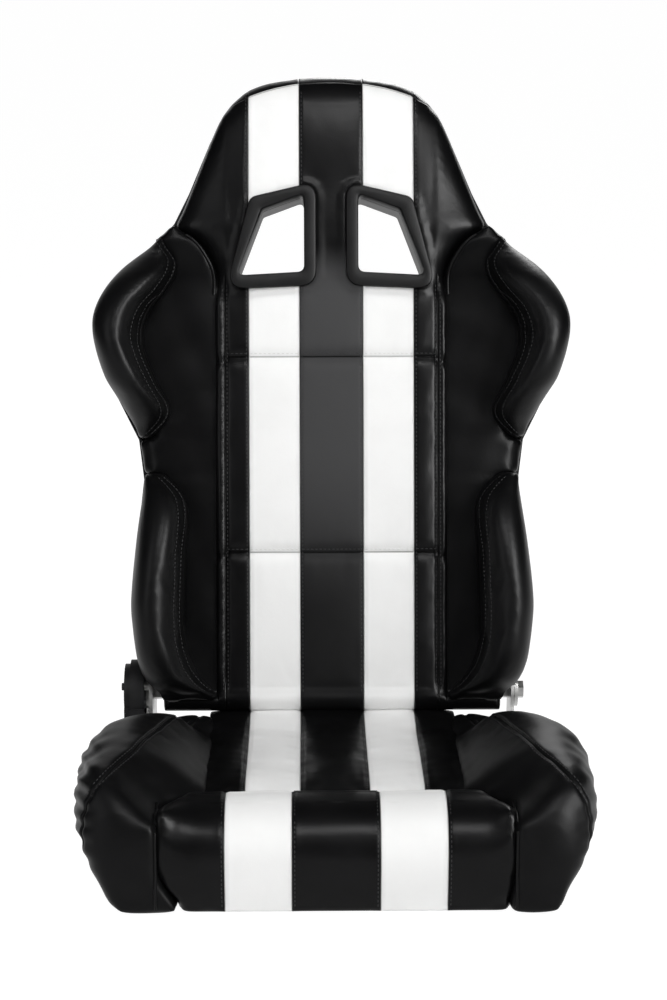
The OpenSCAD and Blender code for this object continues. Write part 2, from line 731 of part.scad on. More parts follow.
// Cross-section of a bolster: inner slope up to the crest, round over, down the outside
// and straight back to the frame; whatever lies behind limit is drawn forward to it
function bolster_ring(x0, x1, depth, limit, h) =
    let (foot = 12, crest = lerp(x0, x1, 0.6), wide = -foot - (depth - foot) * 0.35)
    let (ring = concat([[x0, pad_back], [x0, -foot]],
        [for (t = [0.15, 0.35, 0.55, 0.75])
            [lerp(x0, crest, t), -lerp(foot, depth, pow(sin(90 * t), 1.15))]],
        [for (a = [0:15:90])
            [lerp(crest, x1, sin(a)), lerp(wide, -depth, cos(a))]],
        [[x1, lerp(wide, pad_back, 0.5)], [x1 - 1.5, pad_back]]))
    [for (p = ring) [p[0], min(p[1], limit - (pad_back - p[1]) * 0.01), h]];

module bolster(side, rows, x0, x1, depth, limit) {
    rings = [for (h = rows) bolster_ring(x0(h), x1(h), depth(h), limit(h), h)];
    last = len(rows) - 1;
    function middle(k) =
        let (h = rows[k])
        [lerp(x0(h), x1(h), 0.6), lerp(limit(h), -depth(h), 0.5), h];
    color([0.08, 0.08, 0.08]) on_back() mirrored(side) ring_skin(rings, middle(0), middle(last));
}

module shoulder_bolster(side) {
    bolster(side, concat(shoulder_rows, neck_rows),
        function (h) shoulder_in(h),
        function (h) outline(h) - 1,
        function (h) curve([[305, 20], [332, 62], [376, shoulder_depth - 8],
            [436, shoulder_depth], [492, shoulder_depth - 16], [528, 56], [548, 22]], h),
        function (h) pad_back);
}

module shoulder_bolster_left() { shoulder_bolster(-1); }
module shoulder_bolster_right() { shoulder_bolster(1); }

// The lower end stays clear of the recliner, outside the circle of notch_r about the hinge
module lumbar_bolster(side) {
    bolster(side, concat([-3, 6, 20, 40, notch_h - 1], lumbar_rows),
        function (h) lumbar_seam(h),
        function (h) outline(h) - 1,
        function (h) curve([[-3, notch_r + 16], [20, lumbar_depth - 16], [60, lumbar_depth - 3],
            [150, lumbar_depth], [205, lumbar_depth - 12], [240, 70], [264, 34]], h),
        function (h) h < notch_h ? -notch_r - 1 : pad_back);
}

module lumbar_bolster_left() { lumbar_bolster(-1); }
module lumbar_bolster_right() { lumbar_bolster(1); }

// Rear shell of the backrest, open to the front, slanted at its lower edge
module rear_cover() {
    rim = pad_back + 0.3;
    rows = concat([0, 20, 45, notch_h, notch_h + 8, 130, 200, 256, 304, 352, 400, 436, 472,
        508, 543, 567, 603], [for (i = [0:6]) top_row(i, 6)]);
    function half(h) = lerp(203, outline(max(h, notch_h)) + 2.5, smooth((h - notch_h) / 8));
    function skin(inset) = [for (h = rows) [for (i = [0:12])
        let (a = 180 - 15 * i, cap = top_cap(h), depth = lerp(7, cover_depth, cap) - inset)
        let (x = (half(h) - inset) * spow(cos(a), 0.5), d = depth * spow(sin(a), 0.5))
        let (rise = 0.85 * d * (1 - smooth(h / 60)))
        [x, rim + d, h + rise]]];
    color([0.1, 0.1, 0.1]) on_back() difference() {
        shell_skin(skin(0), skin(cover_wall));
        harness_holes(0, 100);
        for (side = [-1, 1]) mirrored(side)
            round_x(165, 220, [frame_d, frame_h], back_tube_d / 2 + 0.6);
    }
}

// ---------------------------------------------------------------- harness bezels

// Flange against a face of the backrest, with a sleeve reaching into it
module bezel(side, face, dir, depth) {
    color([0.2, 0.2, 0.2]) on_back() mirrored(side) {
        difference() {
            union() {
                through_back(min(face, face + dir * bezel_t), max(face, face + dir * bezel_t))
                    bezel_shape(0, 12);
                through_back(min(face, face - dir * depth), max(face, face - dir * depth))
                    bezel_shape(bezel_band - sleeve_wall, 3.5);
            }
            through_back(-100, 120) bezel_shape(bezel_band, 3);
        }
    }
}

bezel_front_d = -pad_front - 10;
bezel_rear_d = pad_back + 0.3 + cover_depth + 0.3;
module bezel_front_left() { bezel(-1, bezel_front_d, -1, 31); }
module bezel_front_right() { bezel(1, bezel_front_d, -1, 31); }
module bezel_rear_left() { bezel(-1, bezel_rear_d, 1, 61); }
module bezel_rear_right() { bezel(1, bezel_rear_d, 1, 61); }

// ---------------------------------------------------------------- base upholstery

function cushion_top(y) = curve([[-roll_seam, cushion_front_z - 4], [-130, cushion_front_z],
    [0, lerp(cushion_front_z, cushion_rear_z, 0.6) + 1], [90, cushion_rear_z + 1],
    [120, cushion_rear_z], [134, cushion_rear_z - 3], [144, cushion_rear_z - 14],
    [cushion_rear, 62]], y);

module seat_cushion() {
    half = cushion_w / 2 - soft_gap / 2;
    across = [-0.97, -0.86, -0.74, -0.69, -0.64, -0.45, -0.31, -0.265, -0.22, 0];
    us = concat(across, [for (i = [len(across) - 2:-1:0]) -across[i]]);
    rows = [-roll_seam + 1, -162, -140, -100, -50, 0, 50, 90, 120, 134, 144, cushion_rear];
    function ring(y) =
        let (top = cushion_top(y), tuck = 3 * smooth((y - 120) / 30))
        concat([for (u = us)
                let (seams = groove(abs(u) * half, 38, 5) + groove(abs(u) * half, 99, 5))
                [u * (half - tuck), y, top - 2.5 * seams - 5 * pow(abs(u), 6)]],
               [[half - tuck, y, top - 12], [half - tuck - 1.5, y, (top + base_z) / 2],
                [half - tuck, y, base_z + 3], [half - tuck - 3, y, base_z],
                [-half + tuck + 3, y, base_z], [-half + tuck, y, base_z + 3],
                [-half + tuck + 1.5, y, (top + base_z) / 2], [-half + tuck, y, top - 12]]);
    color([0.16, 0.16, 0.16])
        ring_skin([for (y = rows) ring(y)], [0, rows[0], 60], [0, cushion_rear, 48]);
}

// Rear boundary of the front roll, drawn forward at its ends
function roll_rear(x) = lerp(roll_seam, roll_seam + 34,
    smooth((abs(x) - (roll_w / 2 - 34)) / 32));

module front_roll() {
    end = roll_w / 2;
    xs = [-end, -end + 4, -end + 12, -end + 30, -120, -98, -70, -38, 0, 38, 70, 98, 120,
        end - 30, end - 12, end - 4, end];
    pan_y = rail_front + 1.5;
    function ring(x) =
        let (t = clamp((abs(x) - end + 14) / 14), puff = lerp(0.82, 1, ease(t)))
        let (seam = 1.5 * (groove(abs(x), 38, 4) + groove(abs(x), 105, 4)))
        let (rear = -roll_rear(x) - soft_gap, top = hem_z + (roll_top - hem_z) * puff - seam)
        let (front = -lerp(roll_front - 18, roll_front, ease(t)) + seam)
        let (crown = rear - 28, low = 72)
        concat([[x, rear, base_z], [x, rear, top - 15], [x, rear - 5, top - 8],
                [x, rear - 15, top - 2]],
            [for (a = [0:15:90]) [x, lerp(crown, front, sin(a)), lerp(low, top, cos(a))]],
            [[x, front + 0.5, 40], [x, front + 1.5, hem_z + 12], [x, front + 5, hem_z],
             [x, -pan_y - 0.5, hem_z], [x, -pan_y, base_z]]);
    color([0.9, 0.9, 0.9])
        ring_skin([for (x = xs) ring(x)], [-end, -pan_y - 12, 60], [end, -pan_y - 12, 60]);
}

// Height, outer edge and inner edge of a thigh bolster along the seat
function thigh_crest(y) = curve([[-roll_front, thigh_top - 32], [-225, thigh_top - 14],
    [-190, thigh_top - 4], [-135, thigh_top], [-60, thigh_top - 8], [-20, thigh_top - 20],
    [5, thigh_top - 31], [32, thigh_top - 52], [52, thigh_top - 63], [76, thigh_top - 76],
    [thigh_rear, thigh_top - 94]], y);
function thigh_out(y) = curve([[-roll_front, base_w / 2 - 22], [-225, base_w / 2 - 9],
    [-195, base_w / 2 - 2], [-140, base_w / 2], [-75, base_w / 2 - 2], [-20, base_w / 2 - 42],
    [16, rail_out + 7], [thigh_rear, rail_out + 6]], y);
function thigh_in(y) = curve([[-roll_front, roll_w / 2 + 3], [-206, roll_w / 2 + 3],
    [-172, roll_w / 2 - 28], [-160, cushion_w / 2 + 3], [-120, cushion_w / 2 + 1],
    [thigh_rear, cushion_w / 2 + 1]], y);

module thigh_bolster(side) {
    pan_y = rail_front + 1.5;
    rows = [-roll_front, -roll_front + 2, -roll_front + 7, -roll_front + 15, -roll_front + 27,
        -pan_y - 0.4, -pan_y + 0.4, -204, -189, -172, -160, -130, -100, -70, -40, -12, 8, 28, 50,
        74, thigh_rear];
    function nose(y) = 1 - ease(clamp((-y - roll_front + 27) / 27));
    leg_x = rail_out + 1.5;
    function ring(y) =
        let (x0 = thigh_in(y) + 8 * nose(y), x1 = thigh_out(y) - 22 * nose(y))
        let (top = thigh_crest(y) - 26 * nose(y), low = y < -pan_y ? hem_z : base_z)
        let (seam = y < -roll_seam ? roll_top - 12 : cushion_top(y) - 8)
        let (crest = lerp(x0, x1, 0.62), wide = min(95, lerp(hem_z, top, 0.6)))
        let (foot = min(base_w / 2 - 50, x1 - 5))
        concat([[x0, y, low], [x0, y, min(seam, top - 4)]],
            [for (t = [0.2, 0.4, 0.6, 0.8])
                [lerp(x0, crest, t), y, lerp(min(seam, top - 4), top, sin(90 * t))]],
            [for (a = [0:15:90])
                [lerp(crest, x1, sin(a)), y, lerp(wide, top, cos(a))]],
            [for (t = [0.25, 0.5, 0.75, 1])
                [lerp(x1, foot, pow(t, 1.1)), y, lerp(wide, hem_z, t)]],
            [[leg_x, y, hem_z], [leg_x - (y < -pan_y ? 1 : 0), y, low]]);
    color([0.08, 0.08, 0.08]) mirrored(side)
        ring_skin([for (y = rows) ring(y)],
            [235, -roll_front, 50], [rail_out + 2, thigh_rear, 50]);
}

module thigh_bolster_left() { thigh_bolster(-1); }
module thigh_bolster_right() { thigh_bolster(1); }

side_rail_left();
side_rail_right();
front_cross_tube();
rear_cross_tube();
weld_nuts();
seat_pan();
hinge_plate_left();
hinge_plate_right();
hinge_plate_bolts();
pivot_bolts();
pivot_nuts();
pivot_bushes();
pivot_washers();
lever_pin();
lever_spring();
recline_spring();
recliner_cover();
cover_posts();
cover_screws();
seat_cushion();
front_roll();
thigh_bolster_left();
thigh_bolster_right();
recline_lever();
lever_grip();
lock_pawl();
back_plate_left();
back_plate_right();
back_plate_bolts();
back_lower_tube();
back_upright_left();
back_upright_right();
back_middle_tube();
headrest_tube();
back_straps();
centre_pad();
headrest_pad();
side_panel_left();
side_panel_right();
shoulder_bolster_left();
shoulder_bolster_right();
lumbar_bolster_left();
lumbar_bolster_right();
rear_cover();
bezel_front_left();
bezel_front_right();
bezel_rear_left();
bezel_rear_right();
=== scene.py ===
import json
import math

import bmesh
import bpy
import numpy as np
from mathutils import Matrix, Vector
from mathutils.bvhtree import BVHTree


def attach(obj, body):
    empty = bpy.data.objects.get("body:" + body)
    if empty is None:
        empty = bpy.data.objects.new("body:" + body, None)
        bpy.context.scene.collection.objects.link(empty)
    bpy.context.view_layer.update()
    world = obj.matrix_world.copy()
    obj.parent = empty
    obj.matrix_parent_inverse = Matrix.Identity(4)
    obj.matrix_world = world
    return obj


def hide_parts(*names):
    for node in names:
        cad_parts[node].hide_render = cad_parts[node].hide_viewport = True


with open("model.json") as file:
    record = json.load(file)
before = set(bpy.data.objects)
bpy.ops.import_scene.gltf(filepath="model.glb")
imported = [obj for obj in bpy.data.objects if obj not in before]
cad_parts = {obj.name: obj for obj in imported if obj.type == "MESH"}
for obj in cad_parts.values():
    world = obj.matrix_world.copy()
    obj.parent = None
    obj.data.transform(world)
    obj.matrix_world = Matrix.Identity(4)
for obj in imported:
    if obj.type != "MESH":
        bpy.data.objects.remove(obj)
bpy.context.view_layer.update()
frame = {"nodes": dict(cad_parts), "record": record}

scene = bpy.context.scene
nodes = frame["nodes"]

# ------------------------------ camera

SHOT_TARGET = Vector((0.0, 0.0, 0.388))
SHOT_DISTANCE = 2.580
SHOT_DOWN = math.radians(15)
SHOT_TURN = math.radians(0.7)
looking = Vector((math.sin(SHOT_TURN) * math.cos(SHOT_DOWN),
                  math.cos(SHOT_TURN) * math.cos(SHOT_DOWN), -math.sin(SHOT_DOWN)))
camera = bpy.data.objects.new("studio_camera", bpy.data.cameras.new("studio_camera"))
camera.data.lens = 82.44
camera.data.sensor_width = 36
camera.data.clip_end = 60
camera.location = SHOT_TARGET - looking * SHOT_DISTANCE
camera.rotation_euler = looking.to_track_quat("-Z", "Y").to_euler()
scene.collection.objects.link(camera)
scene.camera = camera

# ------------------------------ sizes, in millimetres

HINGE_Y, HINGE_Z, LEAN = 132.0, 114.0, math.radians(14)
LEAN_COS, LEAN_SIN = math.cos(LEAN), math.sin(LEAN)
PAD_HALF = 140.7    # half the middle pad's width
PAD_BACK = 24.0     # how far the pads reach to the rear of the hinge line
END_RADIUS = 23.6   # the low ends, rounded about the hinge line
BACK_H, HEAD_H = 738.0, 640.0   # the backrest's top, and where it starts to round over
CHANNELS = (168.0, 403.0)       # heights of the two channels sewn across
STRIPE, ROLL_STRIPE = (38.0, 99.0), (47.0, 118.5)   # edges of a white stripe
OUTER_STRIP = 128.0             # seam before the pad's outer strip
SHOULDER_SPAN, LUMBAR_SPAN = (305, 549), (-11, 264)   # heights of the bolsters
CUSHION_HALF = 149.0            # half the cushion's width
SEAT_FRONT, NOSE = 258, 27      # the base's front, and the length of a thigh bolster's nose
PAN_TOP, HEM = 32.3, 2          # what the base's covers lie on, and their lower edge
VOXEL = 0.0046    # metres between the points of an even mesh
SIDE_NAME = {-1: "left", 1: "right"}


def lerp(a, b, t):
    return a + (b - a) * t


def clip01(t):
    return np.clip(t, 0, 1)


def smooth(t):
    t = clip01(t)
    return t * t * (3 - 2 * t)


def groove(x, at, width):
    return np.exp(-((x - at) / width) ** 2)


def seams_at(a, places, *widths):
    return sum(groove(a, at, width) for at, width in zip(places, widths))


def curve(keys, x):
    """A smooth line through rising (place, value) keys."""
    at, value = np.array(keys, float).T
    n = len(at)
    low, high = np.maximum(np.arange(n) - 1, 0), np.minimum(np.arange(n) + 1, n - 1)
    slope = (value[high] - value[low]) / (at[high] - at[low])
    x = np.asarray(x, float)
    i = np.clip(np.searchsorted(at, x, side="right") - 1, 0, n - 2)
    w = at[i + 1] - at[i]
    t = clip01((x - at[i]) / w)
    return ((2 * t ** 3 - 3 * t ** 2 + 1) * value[i] + (t ** 3 - 2 * t ** 2 + t) * slope[i] * w
            + (3 * t ** 2 - 2 * t ** 3) * value[i + 1] + (t ** 3 - t ** 2) * slope[i + 1] * w)


def waves(a, b, seed):
    """Uneven ripples from -1 to 1 over two directions, the same in every run."""
    return (np.sin(a * 1.0 + 1.7 * np.sin(b * 0.83 + seed) + seed * 2.1)
            + 0.6 * np.sin(a * 1.9 - b * 1.3 + seed * 3.7)
            + 0.4 * np.sin(b * 2.7 + a * 0.6 + seed * 5.3)) / 2.0


def from_back(p):
    """Backrest places (x, d to the rear, h up the back) to the seat's own metres."""
    x, d, h = np.moveaxis(np.asarray(p, float), -1, 0)
    return np.stack([x, HINGE_Y + d * LEAN_COS + h * LEAN_SIN,
                     HINGE_Z - d * LEAN_SIN + h * LEAN_COS], -1) / 1000


def to_back(v):
    y, z = v[..., 1] * 1000 - HINGE_Y, v[..., 2] * 1000 - HINGE_Z
    return np.stack([v[..., 0] * 1000, y * LEAN_COS - z * LEAN_SIN,
                     y * LEAN_SIN + z * LEAN_COS], -1)


# ------------------------------ outlines of the backrest

OUTLINE = [(-30, 194.5), (0, 215.5), (20, 228.5), (45, 236.5), (80, 240.5), (111, 242.5),
           (185, 234.5), (256, 226), (304, 232), (352, 256), (376, 272), (436, 287), (472, 279),
           (508, 253), (543, 209), (567, 188), (603, 170), (651, 150), (738, 113)]


def top_cap(h):
    return np.sqrt(np.maximum(0, 1 - clip01((h - HEAD_H) / (BACK_H - HEAD_H)) ** 5))


def outline(h):
    return curve(OUTLINE, h) * top_cap(h)


def head_seam(h):
    return curve([(470, 141), (502, 141), (522, 149), (543, 165), (560, 190), (590, 190)], h)


def lumbar_seam(h):
    return curve([(-30, 132), (-3, 136), (12, 152), (33, 166), (74, 176), (161, 175),
                  (230, 174), (262, 200), (275, 222)], h)


def shoulder_in(h):
    seam = curve([(300, 224), (334, 193), (372, 208), (403, 221), (430, 226), (459, 217),
                  (481, 199), (502, 186), (518, 184), (535, 195), (552, 204)], h)
    return np.minimum(seam, outline(h) - 3)


def bezel_outline(inset):
    """A harness bezel's outline (x, h), drawn in by a distance, its corners rounded."""
    corners = np.array([(18 + inset, 611.5 - inset), (18 + inset, 487.5 + inset * 1.15),
                        (126 - inset * 0.9, 483 + inset * 1.15), (97 - inset, 593 - inset)])
    points = []
    for i, radius in enumerate((17, 20, 19, 13)):
        here, before, after = corners[i], corners[i - 1], corners[(i + 1) % 4]
        one, two = before - here, after - here
        one, two = one / np.linalg.norm(one), two / np.linalg.norm(two)
        reach = max(radius - inset * 0.8, 6) / math.tan(math.acos(one @ two) / 2)
        for t in np.linspace(0, 1, 8):
            points.append(here + one * reach * (1 - t) ** 2 + two * reach * t ** 2)
    return np.array(points)


def from_bezel(x, h):
    """Distance outside the bezels' outline, negative within it."""
    points = bezel_outline(2)
    px, ph = np.abs(x), h
    best = np.full(np.shape(px), 1e9)
    inside = np.zeros(np.shape(px), bool)
    for (ax, ah), (bx, bh) in zip(points, np.roll(points, -1, 0)):
        t = clip01(((px - ax) * (bx - ax) + (ph - ah) * (bh - ah))
                   / ((bx - ax) ** 2 + (bh - ah) ** 2))
        best = np.minimum(best, np.hypot(px - ax - t * (bx - ax), ph - ah - t * (bh - ah)))
        crossing = (ah > ph) != (bh > ph)
        with np.errstate(divide="ignore", invalid="ignore"):
            inside ^= crossing & (px < (bx - ax) * (ph - ah) / (bh - ah + 1e-12) + ax)
    return np.where(inside, -best, best) - 2


# ------------------------------ mesh tools

def new_piece(name, verts, faces, edges=()):
    mesh = bpy.data.meshes.new(name)
    mesh.from_pydata([tuple(v) for v in verts], edges, faces)
    piece = bpy.data.objects.new(name, mesh)
    scene.collection.objects.link(piece)
    return piece


def face_outward(piece):
    shell = bmesh.new()
    shell.from_mesh(piece.data)
    bmesh.ops.remove_doubles(shell, verts=shell.verts, dist=1e-5)
    bmesh.ops.recalc_face_normals(shell, faces=shell.faces)
    shell.to_mesh(piece.data)
    shell.free()


def ring_skin(name, rings):
    """A closed skin through rings of points in metres, closed by a fan at each end."""
    rings = np.asarray(rings, float)
    n, m = rings.shape[:2]
    verts = list(rings.reshape(-1, 3)) + [rings[0].mean(0), rings[-1].mean(0)]
    faces = [(i * m + j, (i + 1) * m + j, (i + 1) * m + (j + 1) % m, i * m + (j + 1) % m)
             for i in range(n - 1) for j in range(m)]
    faces += [(n * m, j, (j + 1) % m) for j in range(m)]
    faces += [(n * m + 1, (n - 1) * m + (j + 1) % m, (n - 1) * m + j) for j in range(m)]
    piece = new_piece(name + "_cover", verts, faces)
    face_outward(piece)
    return piece


def bake(piece):
    """The piece becomes a plain mesh, as its modifiers show it."""
    bpy.context.view_layer.update()
    shaped = bpy.data.meshes.new_from_object(
        piece.evaluated_get(bpy.context.evaluated_depsgraph_get()))
    piece.modifiers.clear()
    old = piece.data
    piece.data = shaped
    bpy.data.meshes.remove(old)
    shaped.name = piece.name


def points_of(piece):
    co = np.empty(len(piece.data.vertices) * 3, np.float32)
    piece.data.vertices.foreach_get("co", co)
    return co.reshape(-1, 3).astype(float)


def normals_of(piece):
    no = np.empty(len(piece.data.vertices) * 3, np.float32)
    piece.data.vertex_normals.foreach_get("vector", no)
    return no.reshape(-1, 3).astype(float)


def lie_of(piece):
    """A backrest cover's points and normals, as backrest places."""
    p = to_back(points_of(piece))
    return p, to_back(points_of(piece) + normals_of(piece) * 0.001) - p


def set_points(piece, co):
    piece.data.vertices.foreach_set("co", co.astype(np.float32).ravel())
    piece.data.update()


def mark(piece, name, values):
    """Keeps a number at each point of the piece for its finish to read."""
    kept = piece.data.attributes.new(name, "FLOAT", "POINT")
    kept.data.foreach_set("value", np.asarray(values, np.float32))


def ease(piece, rounds):
    """Takes the sharpest bends out of a mesh."""
    m = piece.modifiers.new("ease", "SMOOTH")
    m.factor, m.iterations = 0.5, rounds
    bake(piece)


def even_mesh(piece):
    m = piece.modifiers.new("even", "REMESH")
    m.mode, m.voxel_size = "VOXEL", VOXEL
    bake(piece)
    ease(piece, 3)


def cut(piece, tool):
    m = piece.modifiers.new("cut", "BOOLEAN")
    m.operation, m.solver, m.object = "DIFFERENCE", "EXACT", tool
    bake(piece)


def coat(piece, finish):
    piece.data.materials.clear()
    piece.data.materials.append(finish)


def crisp_edges(piece):
    """Smooth faces, parted along the sharp edges."""
    piece.data.shade_smooth()
    m = piece.modifiers.new("edges", "EDGE_SPLIT")
    m.split_angle = math.radians(38)    # steeper edges stay crisp
    bake(piece)


FOAM_FRAMES = 20
FOAM = {"use_pressure": True, "uniform_pressure_force": 4.0, "vertex_group_mass": "held",
        "quality": 5, "tension_stiffness": 15, "compression_stiffness": 15,
        "bending_stiffness": 0.5}


def fill_with_foam(padding):
    """Cloth pressure swells all covers at once; held points stay, none moves past its cap."""
    start = {}
    for piece, held, cap in padding:
        weight = np.round(clip01(held) * 10).astype(int)
        group = piece.vertex_groups.new(name="held")
        for step in range(1, 11):
            here = np.nonzero(weight == step)[0]
            if len(here):
                group.add([int(i) for i in here], step / 10, "REPLACE")
        start[piece.name] = points_of(piece)
        m = piece.modifiers.new("foam", "CLOTH")
        for key, value in FOAM.items():
            setattr(m.settings, key, value)
        m.settings.effector_weights.gravity = 0
        m.collision_settings.use_collision = False
        m.collision_settings.use_self_collision = False
        m.point_cache.frame_start, m.point_cache.frame_end = 1, FOAM_FRAMES
    for f in range(1, FOAM_FRAMES + 1):
        scene.frame_set(f)
    depsgraph = bpy.context.evaluated_depsgraph_get()
    swollen = {piece.name: points_of(piece.evaluated_get(depsgraph)) for piece, _, _ in padding}
    for piece, held, cap in padding:
        piece.modifiers.clear()
        piece.vertex_groups.clear()
        move = swollen[piece.name] - start[piece.name]
        length = np.linalg.norm(move, axis=1, keepdims=True)
        most = cap / 1000
        eased = most * np.tanh(length / most)
        set_points(piece, start[piece.name] + move / np.maximum(length, 1e-9) * eased)
    scene.frame_set(1)


def refine(piece):
    m = piece.modifiers.new("fine", "SUBSURF")
    m.levels = m.render_levels = 1
    bake(piece)
    piece.data.shade_smooth()


def slim(piece, held, amount):
    """Draws the free skin in, so that its foam fills it back to size."""
    set_points(piece, points_of(piece) - normals_of(piece) * (1 - clip01(held))[:, None]
               * amount / 1000)


# ------------------------------ padded pieces, start shapes

def end_arc(h):
    """Half a pad's thickness at a height, its low end rounded."""
    return math.sqrt(max(0.5, END_RADIUS ** 2 - h * h)) if h < 0 else END_RADIUS


def backrest_pad():
    """Middle pad and headrest in one cover, with the harness holes through it."""
    low = -END_RADIUS * np.sin(np.radians(np.arange(84, 0, -8)))
    top = HEAD_H + (BACK_H - HEAD_H) * np.sin(np.radians(np.linspace(0, 90, 16))) * 0.998
    us = np.sin(np.radians(np.linspace(-90, 90, 61)))
    a = np.abs(us)
    rings = []
    for h in np.concatenate([low, np.arange(0, 640, 8.0), top]):
        arc = end_arc(h)
        half = PAD_HALF if h < 478 else min(head_seam(h), outline(h) - 1) - 0.3
        flat = END_RADIUS + 5 * (1 - a ** 2) * smooth(h / 60) - 9 * a ** 16
        cap = top_cap(h)
        rise = np.maximum(0, 1 - a ** 3.636) ** 0.25
        head = 52.1 * lerp(0.3, 1, cap) * rise - PAD_BACK \
            + 5 * smooth((h - 477) / 60) * cap * (1 - a ** 2) * rise
        front = -lerp(flat * (arc / END_RADIUS), head, smooth((h - 462) / 40))
        back = min(PAD_BACK, arc) if h < 0 else PAD_BACK
        ring = [(u * half, min(f, back), h) for u, f in zip(us, front)]
        ring += [(half * t, back, h) for t in (0.97, 0.5, -0.5, -0.97)]
        rings.append(from_back(ring))
    pad = ring_skin("backrest_pad", rings)
    cut_harness_holes(pad)
    return pad


def cut_harness_holes(piece):
    for side in (-1, 1):
        edge = [(x * side, h) for x, h in bezel_outline(12.2)]
        verts = list(from_back([(x, -90, h) for x, h in edge] + [(x, 90, h) for x, h in edge]))
        n = len(edge)
        faces = [tuple(range(n)), tuple(range(2 * n - 1, n - 1, -1))]
        faces += [(i, i + n, (i + 1) % n + n, (i + 1) % n) for i in range(n)]
        hole = new_piece("harness_hole", verts, faces)
        face_outward(hole)
        cut(piece, hole)
        bpy.data.objects.remove(hole)


def side_panel(side):
    rings = []
    for h in np.concatenate([np.arange(-22, 540, 5.5), np.arange(540, 564, 3.0)]):
        arc = end_arc(h)
        x0 = PAD_HALF - 12
        if h >= 470:
            x0 = head_seam(h) - lerp(12, 4, clip01((h - 470) / 30))
        if h < 263:
            x1 = lerp(192, min(lumbar_seam(h), outline(h) - 1) - 0.6, smooth((h - 56) / 14))
        elif h < 307:
            x1 = outline(h) - 1.6
        else:
            x1 = max(shoulder_in(h) - 0.6 if h < 546 else outline(h) - 1.6, x0 + 5)
        free = smooth((h - 254) / 8) * smooth((320 - h) / 12) + smooth((h - 543) / 6)
        rise = 12 + 13 * smooth((h - 492) / 55)
        front, back = (min(12, arc), min(PAD_BACK, arc)) if h < 0 else (rise, PAD_BACK)
        x1 = x1 + 12 * (1 - free) + 3.5 * free
        ring = [(x0, -front + 2, h)]
        ring += [(lerp(x0, x1, t), -front - 1.5 * math.sin(math.pi * t) + 3 * free * t, h)
                 for t in (0.12, 0.25, 0.4, 0.55, 0.7, 0.85)]
        ring += [(x1 - 4 * free, -front + 2 + 8 * free, h), (x1 - free, -front + 5 + 10 * free, h),
                 (x1, lerp(-front, back, 0.6), h), (x1, back, h), (x0, back, h)]
        rings.append(from_back(np.array(ring) * (side, 1, 1)))
    return ring_skin("side_panel_" + SIDE_NAME[side], rings)


def bolster_ring(x0, x1, depth, limit, h, side):
    """Inner slope to the crest, round over and down outside; past the limit only inboard."""
    foot, x1 = 12 + 11 * smooth((h - 492) / 50), x1 + 1.5
    crest, wide = lerp(x0, x1, 0.46), -foot - (depth - foot) * 0.35
    ring = [(x0, PAD_BACK), (x0, lerp(PAD_BACK, -foot, 0.5)), (x0, -foot)]
    for a in np.radians(np.linspace(84, 4, 15)):
        ring.append((lerp(crest, x0, math.sin(a) ** 0.85),
                     -lerp(foot, depth, math.cos(a) ** 0.85)))
    for a in np.radians(np.linspace(0, 90, 17)):
        ring.append((lerp(crest, x1, math.sin(a) ** 0.85),
                     lerp(wide, -depth, math.cos(a) ** 0.85)))
    ring += [(x1 - 1.5 * t, lerp(wide, PAD_BACK, t)) for t in (0.2, 0.4, 0.6, 0.8, 1)]
    placed = []
    for x, d in ring:
        rear = lerp(-14, limit, clip01((x - 197) / 9)) if limit < PAD_BACK else limit
        placed.append((x * side, min(d, rear), h))
    return from_back(placed)


SHOULDER_DEPTH = [(305, 20), (332, 62), (376, 100), (436, 108), (492, 90), (520, 64), (538, 42),
                  (549, 31)]
LUMBAR_DEPTH = [(-11, 27), (-3, 49), (8, 73), (20, 86), (60, 102), (150, 105), (205, 93),
                (240, 72), (264, 40)]


def shoulder_bolster(side):
    rings = [bolster_ring(shoulder_in(h), outline(h) - 1, curve(SHOULDER_DEPTH, h), PAD_BACK,
                          h, side) for h in np.linspace(*SHOULDER_SPAN, 46)]
    return ring_skin("shoulder_bolster_" + SIDE_NAME[side], rings)


def lumbar_bolster(side):
    low, high = LUMBAR_SPAN
    rings = [bolster_ring(lumbar_seam(h), outline(h) - 1, curve(LUMBAR_DEPTH, h),
                          -48 if h < 70 else PAD_BACK, h, side)
             for h in np.concatenate([np.linspace(low, 68.8, 16), np.linspace(70.2, high, 36)])]
    return ring_skin("lumbar_bolster_" + SIDE_NAME[side], rings)


def cushion_top(y):
    return curve([(-172, 100), (-130, 104), (0, 96), (90, 90), (120, 89), (134, 86), (144, 75),
                  (151, 62)], y)


def seat_cushion():
    half, rings = CUSHION_HALF, []
    for y in np.concatenate([np.linspace(-171, 100, 40), np.linspace(104, 151, 12)]):
        top, tuck = cushion_top(y), 3 * smooth((y - 120) / 30)
        ring = [(u * (half - tuck), y, top - 5 * abs(u) ** 6)
                for u in np.sin(np.radians(np.linspace(-86, 86, 41)))]
        side = [(0, top - 12), (-1, (top + PAN_TOP) / 2), (0, PAN_TOP + 3), (-3, PAN_TOP)]
        ring += [(half - tuck + inward, y, z) for inward, z in side]
        ring += [(-half + tuck - inward, y, z) for inward, z in reversed(side)]
        rings.append(np.array(ring) / 1000)
    return ring_skin("seat_cushion", rings)


def front_tuck(co):
    """Draws the seams at the roll's ends inward near the hem, more on the recliner's side."""
    p = co * 1000
    x, y, z = p.T
    a = np.abs(x)
    amount = np.where(x < 0, 25, 6) * smooth((50 - z) / 48) * smooth((-y - 200) / 18)
    weight = smooth((a - 105) / 80) * smooth((262 - a) / 66)
    p[:, 0] = np.sign(x) * (a - amount * weight)
    return p / 1000


def roll_rear(x):
    return 172 + 34 * smooth((np.abs(x) - 156) / 32)


